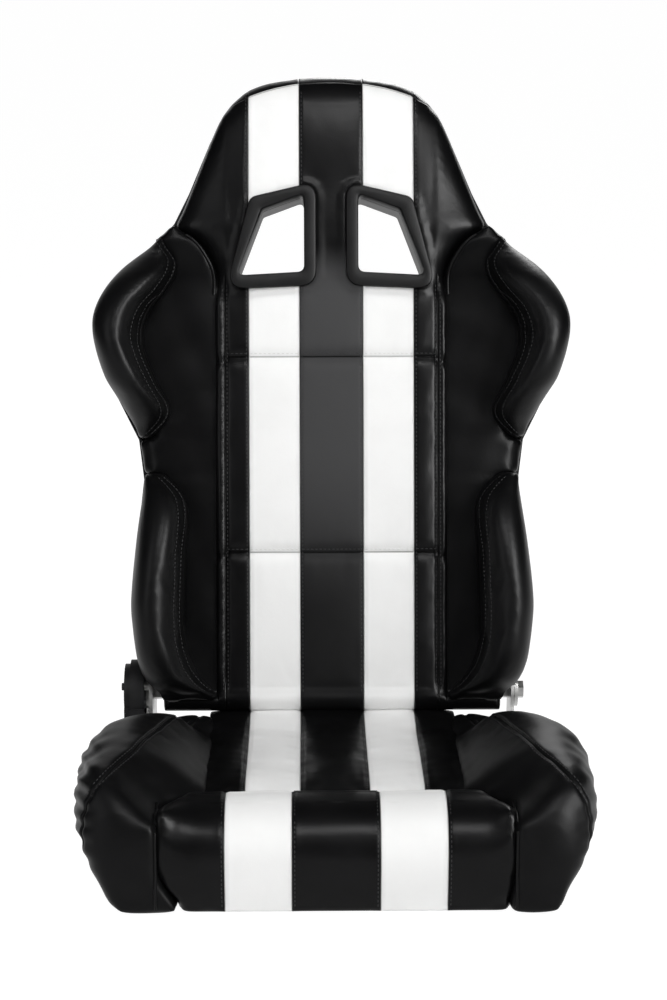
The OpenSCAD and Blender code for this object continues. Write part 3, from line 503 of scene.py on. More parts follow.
def front_roll():
    end, rings = 194.0, []
    near_end = end - 30 * (1 - np.sin(np.radians(np.linspace(0, 90, 12))))
    for x in np.concatenate([-near_end[::-1], np.linspace(-156, 156, 54), near_end]):
        t = clip01((abs(x) - end + 11) / 11)
        full = math.sqrt(1 - t * t)
        rear, top = -roll_rear(x) - 0.6, HEM + 115 * lerp(0.82, 1, full)
        front = -lerp(240, SEAT_FRONT, full)
        crown = rear - 28
        ring = [(x, rear, PAN_TOP), (x, rear, top - 30), (x, rear, top - 15),
                (x, rear - 5, top - 8), (x, rear - 15, top - 2)]
        ring += [(x, lerp(crown, front, math.sin(a)), lerp(60, top, math.cos(a)))
                 for a in np.radians(np.linspace(0, 90, 17))]
        ring += [(x, front + 6 * ((60 - z) / 58) ** 2, z) for z in (50, 40, 30, 20, 10, 2)]
        ring += [(x, -217, HEM), (x, -216.5, PAN_TOP)]
        rings.append(np.array(ring) / 1000)
    return ring_skin("front_roll", rings)


THIGH_CREST = [(-258, 128), (-225, 146), (-190, 156), (-135, 160), (-60, 156), (-20, 147),
               (5, 136), (32, 117), (52, 105), (76, 99), (96, 96), (111, 94.5)]
THIGH_OUT = [(-258, 267), (-225, 280), (-195, 287), (-140, 289), (-75, 287), (-20, 254),
             (16, 228), (82, 219), (96, 206), (111, 190)]
THIGH_IN = [(-258, 193), (-206, 193), (-172, 162), (-160, 146.5), (-120, 144.5), (111, 144.5)]


def thigh_outside(y):
    """How far the nose is drawn in, 0 to 1, the outer edge, and the foot below that edge."""
    t = clip01((-y - SEAT_FRONT + NOSE) / NOSE)
    nose = 1 - math.sqrt(1 - t * t)
    edge = curve(THIGH_OUT, y) - 22 * nose
    return nose, edge, min(239, edge - 5)


def thigh_bolster(side):
    rings = []
    nose_rows = -SEAT_FRONT + NOSE * (1 - np.cos(np.radians(np.linspace(0, 90, 10))))
    for y in np.concatenate([nose_rows, np.linspace(-228, -217, 3), np.linspace(-216, 111, 52)]):
        nose, x1, foot = thigh_outside(y)
        in_front = y < -216.5
        x0 = curve(THIGH_IN, y) - 6 + 6 * nose
        top, low = curve(THIGH_CREST, y) - 26 * nose, HEM if in_front else PAN_TOP
        seam = min(105 if y < -172 else cushion_top(y) - 8, top - 4)
        seam = lerp(seam, top - 5, smooth((y - 50) / 40))
        crest, wide = lerp(x0, x1, 0.62), min(95, lerp(2, top, 0.6))
        ring = [(x0, low), (x0, lerp(low, seam, 0.5)), (x0, seam)]
        ring += [(lerp(x0, crest, t), lerp(seam, top, math.sin(t * math.pi / 2)))
                 for t in np.linspace(0.07, 0.93, 13)]
        ring += [(lerp(crest, x1, math.sin(a)), lerp(wide, top, math.cos(a)))
                 for a in np.radians(np.linspace(0, 90, 17))]
        ring += [(lerp(x1, foot, t ** 1.45), lerp(wide, HEM, t)) for t in np.linspace(0.1, 1, 10)]
        ring += [(min(216.5, foot), HEM), (min(215.5 if in_front else 216.5, foot - 1), low)]
        rings.append(np.array([(x * side, y, z) for x, z in ring]) / 1000)
    return ring_skin("thigh_bolster_" + SIDE_NAME[side], rings)


# ------------------------------ seams, channels and creases

def channel_at(x, h):
    """How deep the nearest cross channel is drawn in, 0 to 1; it steps down in the outer strip."""
    shift = 6 * smooth((np.abs(x) - OUTER_STRIP + 1) / 3)
    return sum(np.exp(-np.abs((h - c + shift) / 6.5) ** 1.6) for c in CHANNELS)


def thigh_seam(y):
    """Diagonal seam over a thigh bolster: its distance from the middle along the seat."""
    return curve([(-262, 330), (-245, 286), (-233, 260), (-220, 246), (-191, 231), (-162, 217),
                  (-110, 204), (-38, 189), (40, 174), (96, 160)], y)


def seam_slant(y):
    """Distance along x for each millimetre square to the thigh seam."""
    return np.sqrt(1 + ((thigh_seam(y + 2) - thigh_seam(y - 2)) / 4) ** 2)


def round_low_end(p, n, radius):
    """Rounds a cover's low end about the hinge line, so that it turns clear of the cushion."""
    facing_down = clip01(-n[:, 2] * 1.5 + clip01(-n[:, 1]))
    share = (p[:, 2] < 0) * smooth(-p[:, 2] / 8) * facing_down
    p[:, 1:] *= (1 + share * (radius / np.maximum(np.hypot(p[:, 1], p[:, 2]), 1) - 1))[:, None]
    return p


def dress_backrest_pad(piece):
    p, n = lie_of(piece)
    x, d, h = p.T
    a = np.abs(x)
    facing = clip01(-n[:, 1] * 1.4)
    seams = (seams_at(a, STRIPE, 2.6, 2.8)
             + 1.4 * groove(a, OUTER_STRIP, 3) * smooth((496 - h) / 14))
    seams = seams * smooth((h + 5) / 20)
    ditch = channel_at(x, h)
    sink = 2.0 * seams * smooth((730 - h) / 30)
    sink += 5.0 * ditch * (1 - 0.35 * clip01(a / 141) ** 4) * (h < 470)
    near = sum(np.exp(-np.abs(h - c) / 15) for c in CHANNELS) * (1 - clip01(ditch))
    sink += 0.55 * near * waves(x / 4.5, h / 30, 2.2) * (h < 480)
    sink += 0.30 * waves(a / 5.5, h / 9, 1.3) \
        * (groove(a, OUTER_STRIP, 14) + 0.5 * groove(a, STRIPE[1], 8)) * (h < 500)
    sink -= 2.6 * groove(a, 134.5, 4.5) * smooth((500 - h) / 30) * smooth(h / 30)
    sink += 0.5 * waves(x / 26, h / 34, 0.4)
    out = from_bezel(x, h)
    head = smooth((h - 440) / 40) * smooth((700 - h) / 60)
    beside = np.maximum(out, 0)
    sink -= 0.6 * groove(beside, 0, 15) * smooth((out + 2) / 5) * head * facing
    sink += 0.35 * waves(a / 9, h / 9, 3.1) * groove(beside, 0, 12) * head
    p = p - n * (sink * facing)[:, None]
    p = round_low_end(p, n, 24.6)
    p[:, 2] += (4.5 + 3.5 * groove(a, 92, 34)) * smooth((p[:, 2] - 600) / 130)
    p[:, 0] *= 1 + 0.012 * smooth((p[:, 2] - 560) / 60)
    under = (out < 1) & (p[:, 1] < 0)
    p[under, 1] = np.maximum(p[under, 1], -31.9)
    set_points(piece, from_back(p))


def dress_side_panel(piece):
    p, n = lie_of(piece)
    sink = 0.9 * waves(np.abs(p[:, 0]) / 15, p[:, 2] / 24, 0.9) * clip01(-n[:, 1] * 1.2)
    set_points(piece, from_back(round_low_end(p - n * sink[:, None], n, 24.4)))


def dress_back_bolster(piece, inner, low, high, seed):
    """Ridge seam along the inner edge, a gusset seam down the outside, and drawn-in creases."""
    p, n = lie_of(piece)
    x, d, h = p.T
    a = np.abs(x)
    edge = inner(np.clip(h, low, high))
    slant = np.hypot(a - edge, (d + 12) * 0.75)
    ends = np.minimum(h - low, high - h)
    near = np.minimum(slant, np.maximum(ends, 0) * 1.2)
    gusset = d + 16 + 0.05 * (h - 300)
    outside = smooth((a - edge - 18) / 14)
    sink = 1.1 * groove(slant - 9, 0, 2.4) * (d < 0)
    sink += 1.9 * groove(gusset, 0, 3.0) * outside
    sink += 0.35 * groove(near, 0, 14) * waves(h / 6.2, slant / 20, seed)
    sink += 0.25 * groove(gusset, 0, 10) * outside * waves(h / 7.0, d / 20, seed + 1.7)
    sink += 0.5 * waves(h / 48, a / 40 + d / 44, seed + 0.6) * smooth(near / 20)
    p = p - n * sink[:, None] * (d < 18)[:, None]
    mark(piece, "seam", slant - 9)
    mark(piece, "gusset", np.where(outside > 0.2, gusset, 40))
    set_points(piece, from_back(p))


def forward(p):
    """The filling pushes the seat's front edge on a little."""
    p[:, 1] -= 5 * smooth((-p[:, 1] - 195) / 45)
    return p


def dress_cushion(piece):
    p = points_of(piece) * 1000
    x, y, z = p.T
    a, n = np.abs(x), normals_of(piece)
    up = clip01(n[:, 2] * 1.3)
    sink = (2.6 * groove(a, STRIPE[0], 3.2) + 2.8 * groove(a, STRIPE[1], 3.4)) * up
    sink += 1.4 * waves(x / 24, y / 30, 2.0) * up
    sink += 0.8 * groove(y, -172, 24) * waves(x / 6, y / 30, 1.1) * up
    sink += 0.6 * seams_at(a, STRIPE, 16, 16) * waves(y / 6.5, a / 20, 0.3) * up
    sink += 0.4 * groove(a, 140, 22) * waves(y / 9.5, a / 12, 2.6)
    p = p - n * sink[:, None] * (z > 40)[:, None]
    full = cushion_top(p[:, 1]) + 4.2 - 5 * (a / CUSHION_HALF) ** 6 \
        - 2.2 * seams_at(a, STRIPE, 3.2, 3.4) + 0.7 * waves(x / 22, y / 26, 2.0)
    rear = smooth((y - 50) / 50) * (n[:, 2] > 0.35)
    p[:, 2] += rear * np.maximum(full - p[:, 2], 0)
    set_points(piece, p / 1000)


def dress_roll(piece):
    p = points_of(piece) * 1000
    x, y, z = p.T
    a, n = np.abs(x), normals_of(piece)
    shown = smooth((z - 3) / 8)
    sink = 1.8 * groove(a, ROLL_STRIPE[0], 2.6) + 1.9 * groove(a, ROLL_STRIPE[1], 2.8)
    sink += 0.9 * waves(x / 30, z / 26, 0.8)
    sink += groove(a, 186, 20) * waves(z / 8.5, a / 16, 1.9)
    sink += 0.9 * smooth((34 - z) / 30) * waves(x / 9, z / 40, 2.4)
    sink += 0.8 * groove(z, 102, 14) * waves(x / 8.5, z / 30, 3.3) * (y > -215)
    p = p - n * (sink * shown)[:, None]
    set_points(piece, forward(p) / 1000)


def dress_thigh(piece, seed):
    p = points_of(piece) * 1000
    x, y, z = p.T
    a, n = np.abs(x), normals_of(piece)
    across = (a - thigh_seam(y)) / seam_slant(y)
    over = smooth((z - 60) / 25)
    sink = 2.0 * groove(across, 0, 2.6) * over
    sink += 0.5 * groove(across, 0, 18) * over * waves(y / 6, across / 14, seed)
    sink += 0.35 * groove(a, curve(THIGH_IN, y), 20) * waves(y / 8.5, z / 18, seed + 1)
    hem = smooth((46 - z) / 40)
    sink += 1.8 * hem * waves((y + a * 0.4) / 7.5, z / 46, seed + 2) * smooth(z / 4)
    outer = smooth((a - 225) / 30) * smooth((z - 20) / 30)
    sink += 0.9 * outer * waves((y + 0.6 * z) / 10, z / 30, seed + 3)
    gathers = 0.5 + 0.5 * np.sin((z + 0.3 * y + 4 * np.sin(z / 21 + seed)) / 3.1)
    sink += np.where(x < 0, 2.6, 1.1) * gathers * smooth((a - 248) / 26) * smooth((z - 40) / 20)
    sink += 0.5 * waves(y / 40, z / 34 + a / 36, seed + 0.5)
    mark(piece, "seam", across)
    p = p - n * sink[:, None] * smooth((z - 2) / 4)[:, None]
    p[:, 1] -= 8 * np.exp(-((z - 68) / 44) ** 2 - ((a - 222) / 38) ** 2) * smooth((-y - 205) / 30)
    set_points(piece, forward(p) / 1000)


# ------------------------------ sewing, by geometry nodes

LINE_NODES = {
    "line": ("GeometryNodeMeshToCurve", {}),
    "even": ("GeometryNodeResampleCurve", {"mode": "LENGTH"}),
    "real": ("GeometryNodeRealizeInstances", {}),
    "soft": ("GeometryNodeSetShadeSmooth", {}),
    "dye": ("GeometryNodeSetMaterial", {}),
}
LINE_LINKS = [
    ("given", "Line", "line", "Mesh"), ("line", "Curve", "even", "Curve"),
    ("real", "Geometry", "soft", "Geometry"), ("soft", "Geometry", "dye", "Geometry"),
    ("given", "Thread", "dye", "Material"), ("dye", "Geometry", "result", "Sewn"),
]


def socket_id(tree, name):
    return next(i.identifier for i in tree.interface.items_tree
                if i.item_type == "SOCKET" and i.in_out == "INPUT" and i.name == name)


def sewing_tree(name, sizes, more_nodes, more_links):
    """Lays something along lines. A node is given by its type, and its inputs and settings."""
    tree = bpy.data.node_groups.new(name, "GeometryNodeTree")
    tree.interface.new_socket("Line", in_out="INPUT", socket_type="NodeSocketGeometry")
    for size, start in sizes.items():
        given = tree.interface.new_socket(size, in_out="INPUT", socket_type="NodeSocketFloat")
        given.default_value = start
    tree.interface.new_socket("Thread", in_out="INPUT", socket_type="NodeSocketMaterial")
    tree.interface.new_socket("Sewn", in_out="OUTPUT", socket_type="NodeSocketGeometry")
    made = {"given": tree.nodes.new("NodeGroupInput"), "result": tree.nodes.new("NodeGroupOutput")}
    for word, (kind, values) in {**LINE_NODES, **more_nodes}.items():
        made[word] = tree.nodes.new(kind)
        for key, value in values.items():
            if key in made[word].inputs:
                made[word].inputs[key].default_value = value
            else:
                setattr(made[word], key, value)
    for start, out, end, into in LINE_LINKS + more_links:
        tree.links.new(made[start].outputs[out], made[end].inputs[into])
    return tree


# short rounded stitches, end to end
stitch_row = sewing_tree(
    "stitch_row", {"Pitch": 0.005, "Length": 0.0036, "Thread size": 0.0011},
    {"bead": ("GeometryNodeMeshUVSphere", {"Segments": 6, "Rings": 4, "Radius": 0.5}),
     "size": ("ShaderNodeCombineXYZ", {}),
     "shape": ("GeometryNodeTransform", {}),
     "tangent": ("GeometryNodeInputTangent", {}),
     "turn": ("FunctionNodeAlignRotationToVector", {"axis": "Z"}),
     "place": ("GeometryNodeInstanceOnPoints", {})},
    [("given", "Pitch", "even", "Length"), ("given", "Thread size", "size", "X"),
     ("given", "Thread size", "size", "Y"), ("given", "Length", "size", "Z"),
     ("bead", "Mesh", "shape", "Geometry"), ("size", "Vector", "shape", "Scale"),
     ("tangent", "Tangent", "turn", "Vector"), ("even", "Curve", "place", "Points"),
     ("shape", "Geometry", "place", "Instance"), ("turn", "Rotation", "place", "Rotation"),
     ("place", "Instances", "real", "Geometry")])

# a covered cord of one thickness
welt = sewing_tree(
    "welt", {"Radius": 0.0018, "Step": 0.004},
    {"ring": ("GeometryNodeCurvePrimitiveCircle", {"Resolution": 8}),
     "tube": ("GeometryNodeCurveToMesh", {"Fill Caps": True})},
    [("given", "Step", "even", "Length"), ("given", "Radius", "ring", "Radius"),
     ("even", "Curve", "tube", "Curve"), ("ring", "Curve", "tube", "Profile Curve"),
     ("tube", "Mesh", "real", "Geometry")])


def sew(name, lines, tree, thread, sizes=None):
    """Runs a tree along lines of points, and keeps the result as one plain mesh."""
    verts, edges = [], []
    for line in lines:
        if len(line) > 1:
            edges += [(len(verts) + i, len(verts) + i + 1) for i in range(len(line) - 1)]
            verts += list(line)
    piece = new_piece(name, verts, [], edges)
    m = piece.modifiers.new("sewing", "NODES")
    m.node_group = tree
    for size, value in (sizes or {}).items():
        m[socket_id(tree, size)] = value
    m[socket_id(tree, "Thread")] = thread
    bake(piece)
    if not piece.data.materials:
        piece.data.materials.append(thread)
    return piece


class Skin:
    """The finished covers, for laying seams on them."""

    def __init__(self, pieces):
        verts, faces, base = [], [], 0
        for piece in pieces:
            co = points_of(piece)
            verts += [Vector(v) for v in co]
            faces += [tuple(base + i for i in f.vertices) for f in piece.data.polygons]
            base += len(co)
        self.tree = BVHTree.FromPolygons(verts, faces)

    def lay(self, starts, direction, lift):
        """Drops points along a direction on to the covers, and splits the line where it breaks."""
        lines, line = [], []
        for start in starts:
            place, normal = None, None
            if start is not None:
                place, normal, _, _ = self.tree.ray_cast(Vector(start), Vector(direction))
            if place is None or (line and (place - line[-1]).length > LINE_BREAK):
                lines.append(line)
                line = []
            if place is not None:
                line.append(place + normal * lift)
        lines.append(line)
        return [l for l in lines if len(l) > 2]


REARWARD = from_back((0, 1, 0)) - from_back((0, 0, 0))
REARWARD = REARWARD / np.linalg.norm(REARWARD)
DOWN, TO_THE_REAR = (0, 0, -1), (0, 1, 0)
ABOVE, BEFORE, BACK_BEFORE = 0.3, -0.4, -230    # where the rays start, clear of every cover
LINE_BREAK = 0.018                              # a longer step is a gap in the line
THREAD_LIFT = 0.0002


def on_back(xs, hs, lift=THREAD_LIFT, clear_of_bezels=True):
    """A line over the backrest's front, given by its x and h."""
    starts = []
    for x, h in np.broadcast(xs, hs):
        blocked = clear_of_bezels and from_bezel(np.array([x]), np.array([h]))[0] < 1.5
        starts.append(None if blocked else from_back((x, BACK_BEFORE, h)))
    return back_skin.lay(starts, REARWARD, lift)


def on_base(xs, ys, lift=THREAD_LIFT):
    """A line over the seat's top, given by its x and y."""
    starts = [(x / 1000, y / 1000, ABOVE) for x, y in np.broadcast(xs, ys)]
    return base_skin.lay(starts, DOWN, lift)


def on_front(x, zs, lift=THREAD_LIFT):
    """A line down the front roll's face."""
    return base_skin.lay([(x / 1000, BEFORE, z / 1000) for z in zs], TO_THE_REAR, lift)


# ------------------------------ finishes

class Value:
    """A number in a finish; sums written on it become its maths."""

    def __init__(self, finish, socket):
        self.finish, self.socket = finish, socket

    def _do(self, operation, *terms):
        return self.finish.node("ShaderNodeMath", {"operation": operation},
                                dict(enumerate(terms)))

    def __add__(self, other): return self._do("ADD", self, other)
    def __radd__(self, other): return self._do("ADD", other, self)
    def __sub__(self, other): return self._do("SUBTRACT", self, other)
    def __rsub__(self, other): return self._do("SUBTRACT", other, self)
    def __mul__(self, other): return self._do("MULTIPLY", self, other)
    def __rmul__(self, other): return self._do("MULTIPLY", other, self)
    def __abs__(self): return self._do("ABSOLUTE", self)
    def most(self, other): return self._do("MAXIMUM", self, other)
    def sine(self): return self._do("SINE", self)

    def other(self, out):
        """Another output of the same node."""
        return Value(self.finish, self.socket.node.outputs[out])

    def rises(self, low, high):
        """0 below low, 1 above high, eased between."""
        return self.finish.node("ShaderNodeMapRange", {"interpolation_type": "SMOOTHSTEP"},
                                {"Value": self, "From Min": low, "From Max": high})

    def line(self, at, width):
        """1 on the line at a distance, fading to 0 a width away."""
        return 1 - abs(self - at).rises(0, width)


class Finish:
    """A material, or the room's light, built a node at a time."""

    def __init__(self, name, kind=bpy.data.materials):
        self.made = kind.new(name)
        self.made.use_nodes = True
        self.tree = self.made.node_tree
        self.tree.nodes.clear()

    def node(self, kind, settings=None, values=None, out=0):
        """Adds a node: its type, its settings, and the values or links of its sockets."""
        made = self.tree.nodes.new(kind)
        for key, value in (settings or {}).items():
            setattr(made, key, value)
        for key, value in (values or {}).items():
            if isinstance(value, Value):
                self.tree.links.new(value.socket, made.inputs[key])
            else:
                made.inputs[key].default_value = value
        return Value(self, made.outputs[out]) if len(made.outputs) else None

    def place(self):
        """Object coordinates in millimetres."""
        where = self.node("ShaderNodeTexCoord", out="Object")
        return self.node("ShaderNodeVectorMath", {"operation": "SCALE"},
                         {0: where, "Scale": 1000.0})

    def axes(self, where):
        x = self.node("ShaderNodeSeparateXYZ", None, {0: where})
        return x, x.other(1), x.other(2)

    def noise(self, where, size, detail=2.0, rough=0.5, distortion=0.0):
        """Soft noise whose spots are about this many millimetres across."""
        return self.node("ShaderNodeTexNoise", None,
                         {"Vector": where, "Scale": 1.0 / size, "Detail": detail,
                          "Roughness": rough, "Distortion": distortion})

    def cells(self, where, size):
        return self.node("ShaderNodeTexVoronoi", None,
                         {"Vector": where, "Scale": 1.0 / size}, "Distance")

    def marked(self, name):
        return self.node("ShaderNodeAttribute", {"attribute_name": name}, out="Fac")

    def blend(self, amount, first, second):
        """From the first colour to the second."""
        return self.node("ShaderNodeMix", {"data_type": "RGBA"},
                         {0: amount, 6: first, 7: second}, 2)

    def relief(self, height):
        """A surface normal from a height in millimetres."""
        return self.node("ShaderNodeBump", None, {"Height": height, "Strength": 1.0,
                                                  "Distance": 0.001})

    def surface(self, colour, roughness, normal=None, **constants):
        values = {"Base Color": colour, "Roughness": roughness}
        if normal is not None:
            values["Normal"] = normal
        values.update({k.replace("_", " "): v for k, v in constants.items()})
        return self.end(self.node("ShaderNodeBsdfPrincipled", None, values))

    def seen_directly(self):
        """1 for the camera, in a reflection or through glass, 0 for light on its way round."""
        eye = self.node("ShaderNodeLightPath", out="Is Camera Ray")
        return eye.most(eye.other("Is Glossy Ray")).most(eye.other("Is Transmission Ray"))

    def end(self, shader, kind="ShaderNodeOutputMaterial"):
        self.node(kind, None, {"Surface": shader})
        return self.made


def grey(value, blue=None):
    return (value, value, blue or value, 1)


BLACK = grey(0.0028, 0.003)
CLOUDED_BLACK = grey(0.0042, 0.0045)
DEEP_BLACK = grey(0.0016, 0.0017)
WHITE = grey(0.80, 0.795)
# the middle strip's matt grey vinyl, lightened by a painted sheen
MATT_GREY_AND_SHEEN = grey(0.038, 0.039)


def leather_relief(f, where):
    """Fine pebble grain with soft creases between, in millimetres of height."""
    return f.cells(where, 1.3) * 0.035 + f.noise(where, 9.0, 3.0, 0.6, 0.8) * 0.10


def black_leatherette(name, seams=(), gloss=0.5):
    """Semi-gloss black cover; seams are (mark on the piece, width) pairs."""
    f = Finish(name)
    where = f.place()
    cloud = f.noise(where, 60.0, 3.0, 0.55)
    height = leather_relief(f, where)
    dark = None
    for mark_name, width in seams:
        line = f.marked(mark_name).line(0.0, width)
        height = height - line * 0.9
        dark = dark.most(line) if dark else line
    colour = f.blend(cloud.rises(0.3, 0.75), BLACK, CLOUDED_BLACK)
    rough = (0.36 if seams else 0.30) + cloud * 0.09
    if dark:
        colour = f.blend(dark, colour, DEEP_BLACK)
        rough = rough + dark * 0.25
    return f.surface(colour, rough, f.relief(height), IOR=1.20, Specular_IOR_Level=gloss)


def striped_leatherette(name, stripe, on_backrest, gloss=0.5):
    """Black cover with two white stripes let in between seams."""
    f = Finish(name)
    where = f.place()
    x, y, z = f.axes(where)
    a = abs(x)
    low, high = stripe
    white = a.rises(low - 0.5, low + 0.5) * (1 - a.rises(high - 0.5, high + 0.5))
    seam = a.line(low, 1.5).most(a.line(high, 1.5))
    cloud = f.noise(where, 55.0, 3.0, 0.55)
    black = f.blend(cloud.rises(0.3, 0.75), BLACK, CLOUDED_BLACK)
    matt = 0.0
    if on_backrest:
        h = (y - HINGE_Y) * LEAN_SIN + (z - HINGE_Z) * LEAN_COS
        arched = h + a * a * 0.00184
        white = white * (1 - arched.rises(732.5, 733.5))
        seam = seam.most(arched.line(732.0, 1.2))
        seam = seam.most(a.line(OUTER_STRIP, 1.4) * (1 - h.rises(495, 505)))
        seam = seam.most((h.line(CHANNELS[0], 1.6).most(h.line(CHANNELS[1], 1.6)))
                         * (1 - a.rises(126, 129)))
        matt = (1 - a.rises(low - 0.6, low + 0.2)) * (1 - h.rises(488, 540))
        # the middle strip takes its matt grey with the painted sheen, faded to black from h 300
        # down to h 90 as painted shade
        black = f.blend(matt * h.rises(90, 300), black, MATT_GREY_AND_SHEEN)
    tone = f.blend(cloud.rises(0.35, 0.8), WHITE, grey(0.77, 0.765))
    colour = f.blend(white, black, tone)
    colour = f.blend(seam * (1 - white * 0.55), colour, DEEP_BLACK)
    height = leather_relief(f, where) - seam * 0.9
    rough = 0.28 + cloud * 0.09 + matt * 0.24 + white * 0.14
    return f.surface(colour, rough, f.relief(height), IOR=1.20, Specular_IOR_Level=gloss)


def thread(name, colour, light):
    f = Finish(name)
    where = f.place()
    ply = f.noise(where, 0.7, 1.0)
    return f.surface(f.blend(ply, colour, light), 0.55 + ply * 0.15,
                     f.relief(ply * 0.05), Specular_IOR_Level=0.3)


def moulded_plastic(name, colour, light, rough, grain, size):
    """Moulded plastic with a fine spark-eroded grain, rubbed a little smoother in places."""
    f = Finish(name)
    where = f.place()
    pits = f.cells(where, size)
    cloud = f.noise(where, 45.0, 3.0, 0.6)
    return f.surface(f.blend(cloud.rises(0.35, 0.75), colour, light), rough + cloud * 0.12,
                     f.relief(pits * grain + cloud * 0.02), Specular_IOR_Level=0.14)


def plated_steel(name, colour, light, rough):
    """Zinc plate with a faint brushed direction and clouded spangle."""
    f = Finish(name)
    where = f.place()
    spangle = f.cells(where, 7.0)
    streak = f.noise(f.node("ShaderNodeVectorMath", {"operation": "MULTIPLY"},
                            {0: where, 1: (1.0, 0.12, 1.0)}), 0.6, 2.0)
    return f.surface(f.blend(spangle, colour, light), rough + streak * 0.14,
                     f.relief(streak * 0.012), Metallic=1.0)


def powder_coat(name, colour, light):
    f = Finish(name)
    where = f.place()
    peel = f.noise(where, 1.6, 2.0)
    cloud = f.noise(where, 40.0, 2.0)
    return f.surface(f.blend(cloud.rises(0.3, 0.7), colour, light), 0.38 + cloud * 0.14,
                     f.relief(peel * 0.05), Specular_IOR_Level=0.5)


def webbing(name):
    """Woven elastic with ribs across it."""
    f = Finish(name)
    x, y, z = f.axes(f.place())
    rib = ((z * 2.4).sine() * 0.5 + 0.5) * ((x * 2.4).sine() * 0.5 + 0.5)
    return f.surface(f.blend(rib, grey(0.02), grey(0.07)),
                     0.75 + rib * 0.1, f.relief(rib * 0.25), Specular_IOR_Level=0.2)


cover_finish = {
    "backrest": striped_leatherette("backrest leatherette", STRIPE, True),
    "seat": striped_leatherette("cushion leatherette", STRIPE, False, 0.24),
    "front": striped_leatherette("roll leatherette", ROLL_STRIPE, False),
    "side": black_leatherette("panel leatherette", gloss=0.32),
    "shoulder": black_leatherette("bolster leatherette", [("seam", 1.6), ("gusset", 1.6)]),
    "thigh": black_leatherette("thigh leatherette", [("seam", 1.6)], 0.38),
}
cover_finish["lumbar"] = cover_finish["shoulder"]
black_thread = thread("black thread", grey(0.006, 0.0065), grey(0.026, 0.027))
white_thread = thread("white thread", grey(0.55, 0.54), grey(0.78, 0.77))
welt_cover = black_leatherette("welt leatherette")
hem_binding = thread("hem binding", grey(0.03, 0.031), grey(0.08))
hard_finish = {
    "shell_plastic": moulded_plastic("grained black plastic", grey(0.006, 0.0065),
                                     grey(0.010, 0.0105), 0.46, 0.07, 1.1),
    "bezel_plastic": moulded_plastic("satin bezel plastic", grey(0.004, 0.0042),
                                     grey(0.007, 0.0073), 0.40, 0.02, 0.8),
    "washer_plastic": moulded_plastic("nylon", (0.62, 0.61, 0.56, 1),
                                      (0.70, 0.69, 0.64, 1), 0.45, 0.01, 2.0),
    "zinc_steel": plated_steel("zinc plate", grey(0.40, 0.395), grey(0.56, 0.55), 0.30),
    "spring_steel": plated_steel("oiled spring steel", grey(0.13, 0.14),
                                 grey(0.22, 0.23), 0.3),
    "bush_bronze": plated_steel("sintered bronze", (0.42, 0.27, 0.12, 1),
                                (0.56, 0.38, 0.18, 1), 0.36),
    "frame_paint": powder_coat("black powder coat", grey(0.010, 0.011),
                               grey(0.018, 0.019)),
    "strap_webbing": webbing("woven elastic"),
}

# ------------------------------ make the covers

def held_on_back(piece, kind):
    """1 where a backrest cover is sewn down or lies on its frame, 0 where foam lifts it."""
    p = to_back(points_of(piece))
    x, d, h = p.T
    a = np.abs(x)
    if kind == "pad":
        held = (seams_at(a, STRIPE, 4, 4) + groove(a, OUTER_STRIP, 5) + 0.6 * (a > 132)
                + channel_at(x, h) * (h < 470) + (d > 8) + (from_bezel(x, h) < 8) * 1.0
                + (h < 4) + (h > 700) * 0.6)
    elif kind == "panel":
        held = (d > -6) * 1.0 + (a < 145) + 0.4
    else:
        shoulder = kind == "shoulder"
        low, high = SHOULDER_SPAN if shoulder else LUMBAR_SPAN
        seam = (shoulder_in if shoulder else lumbar_seam)(np.clip(h, low, high))
        held = groove(np.hypot(a - seam, (d + 12) * 0.8), 0, 7) + smooth((d + 6) / 16)
        if shoulder:
            held = held + groove(h, low, 9) + groove(h, high, 9)
        else:
            held = held + groove(h, high, 9) + smooth((-2 - h) / 8) + (h < 74) * (d > -30)
    return clip01(held)


def held_on_base(piece, kind):
    """The same for a cover of the base."""
    p = points_of(piece) * 1000
    x, y, z = p.T
    a = np.abs(x)
    held = smooth((36 - z) / 4) if kind == "cushion" else smooth((10 - z) / 8)
    if kind == "cushion":
        held = held + groove(a, STRIPE[0], 5) + groove(a, STRIPE[1], 5) + (a > 139) * 0.7 \
            + (y < -166) + (y > 140) * 0.8
    elif kind == "roll":
        held = held + 0.5 * seams_at(a, ROLL_STRIPE, 4, 4) + (y > -190) * 0.8 \
            + (a > 189) * 0.8 + ((y > -219) & (z < 60))
    else:
        across = (a - thigh_seam(y)) / seam_slant(y)
        held = held + groove(across, 0, 5) * (z > 70) + (a < curve(THIGH_IN, y) + 4) \
            + ((a < 220) & (z < 60)) + (y > 60) + smooth((24 - z) / 12)
    return clip01(held)


covers, padding = {}, []


def start_cover(piece, held, kind, slimmed, cap):
    """Evens the mesh and draws it in where it isn't held, ready for the foam to fill it."""
    even_mesh(piece)
    if piece.name.startswith(("front_roll", "thigh")):
        set_points(piece, front_tuck(points_of(piece)))
    hold = held(piece, kind)
    slim(piece, hold, slimmed)
    covers[piece.name.removesuffix("_cover")] = piece
    padding.append((piece, hold, cap))


start_cover(backrest_pad(), held_on_back, "pad", 1.5, 4.0)
start_cover(seat_cushion(), held_on_base, "cushion", 2.5, 6.0)
start_cover(front_roll(), held_on_base, "roll", 2.5, 9.0)
for side, word in SIDE_NAME.items():
    start_cover(side_panel(side), held_on_back, "panel", 0.0, 2.0)
    start_cover(shoulder_bolster(side), held_on_back, "shoulder", 3.5, 7.0)
    start_cover(lumbar_bolster(side), held_on_back, "lumbar", 3.5, 7.0)
    start_cover(thigh_bolster(side), held_on_base, "thigh", 3.5, 7.0)

fill_with_foam(padding)

for name, piece in covers.items():
    ease(piece, 22 if "thigh" in name else 9 if "bolster" in name else 2)
    refine(piece)
    piece.data.shade_smooth()

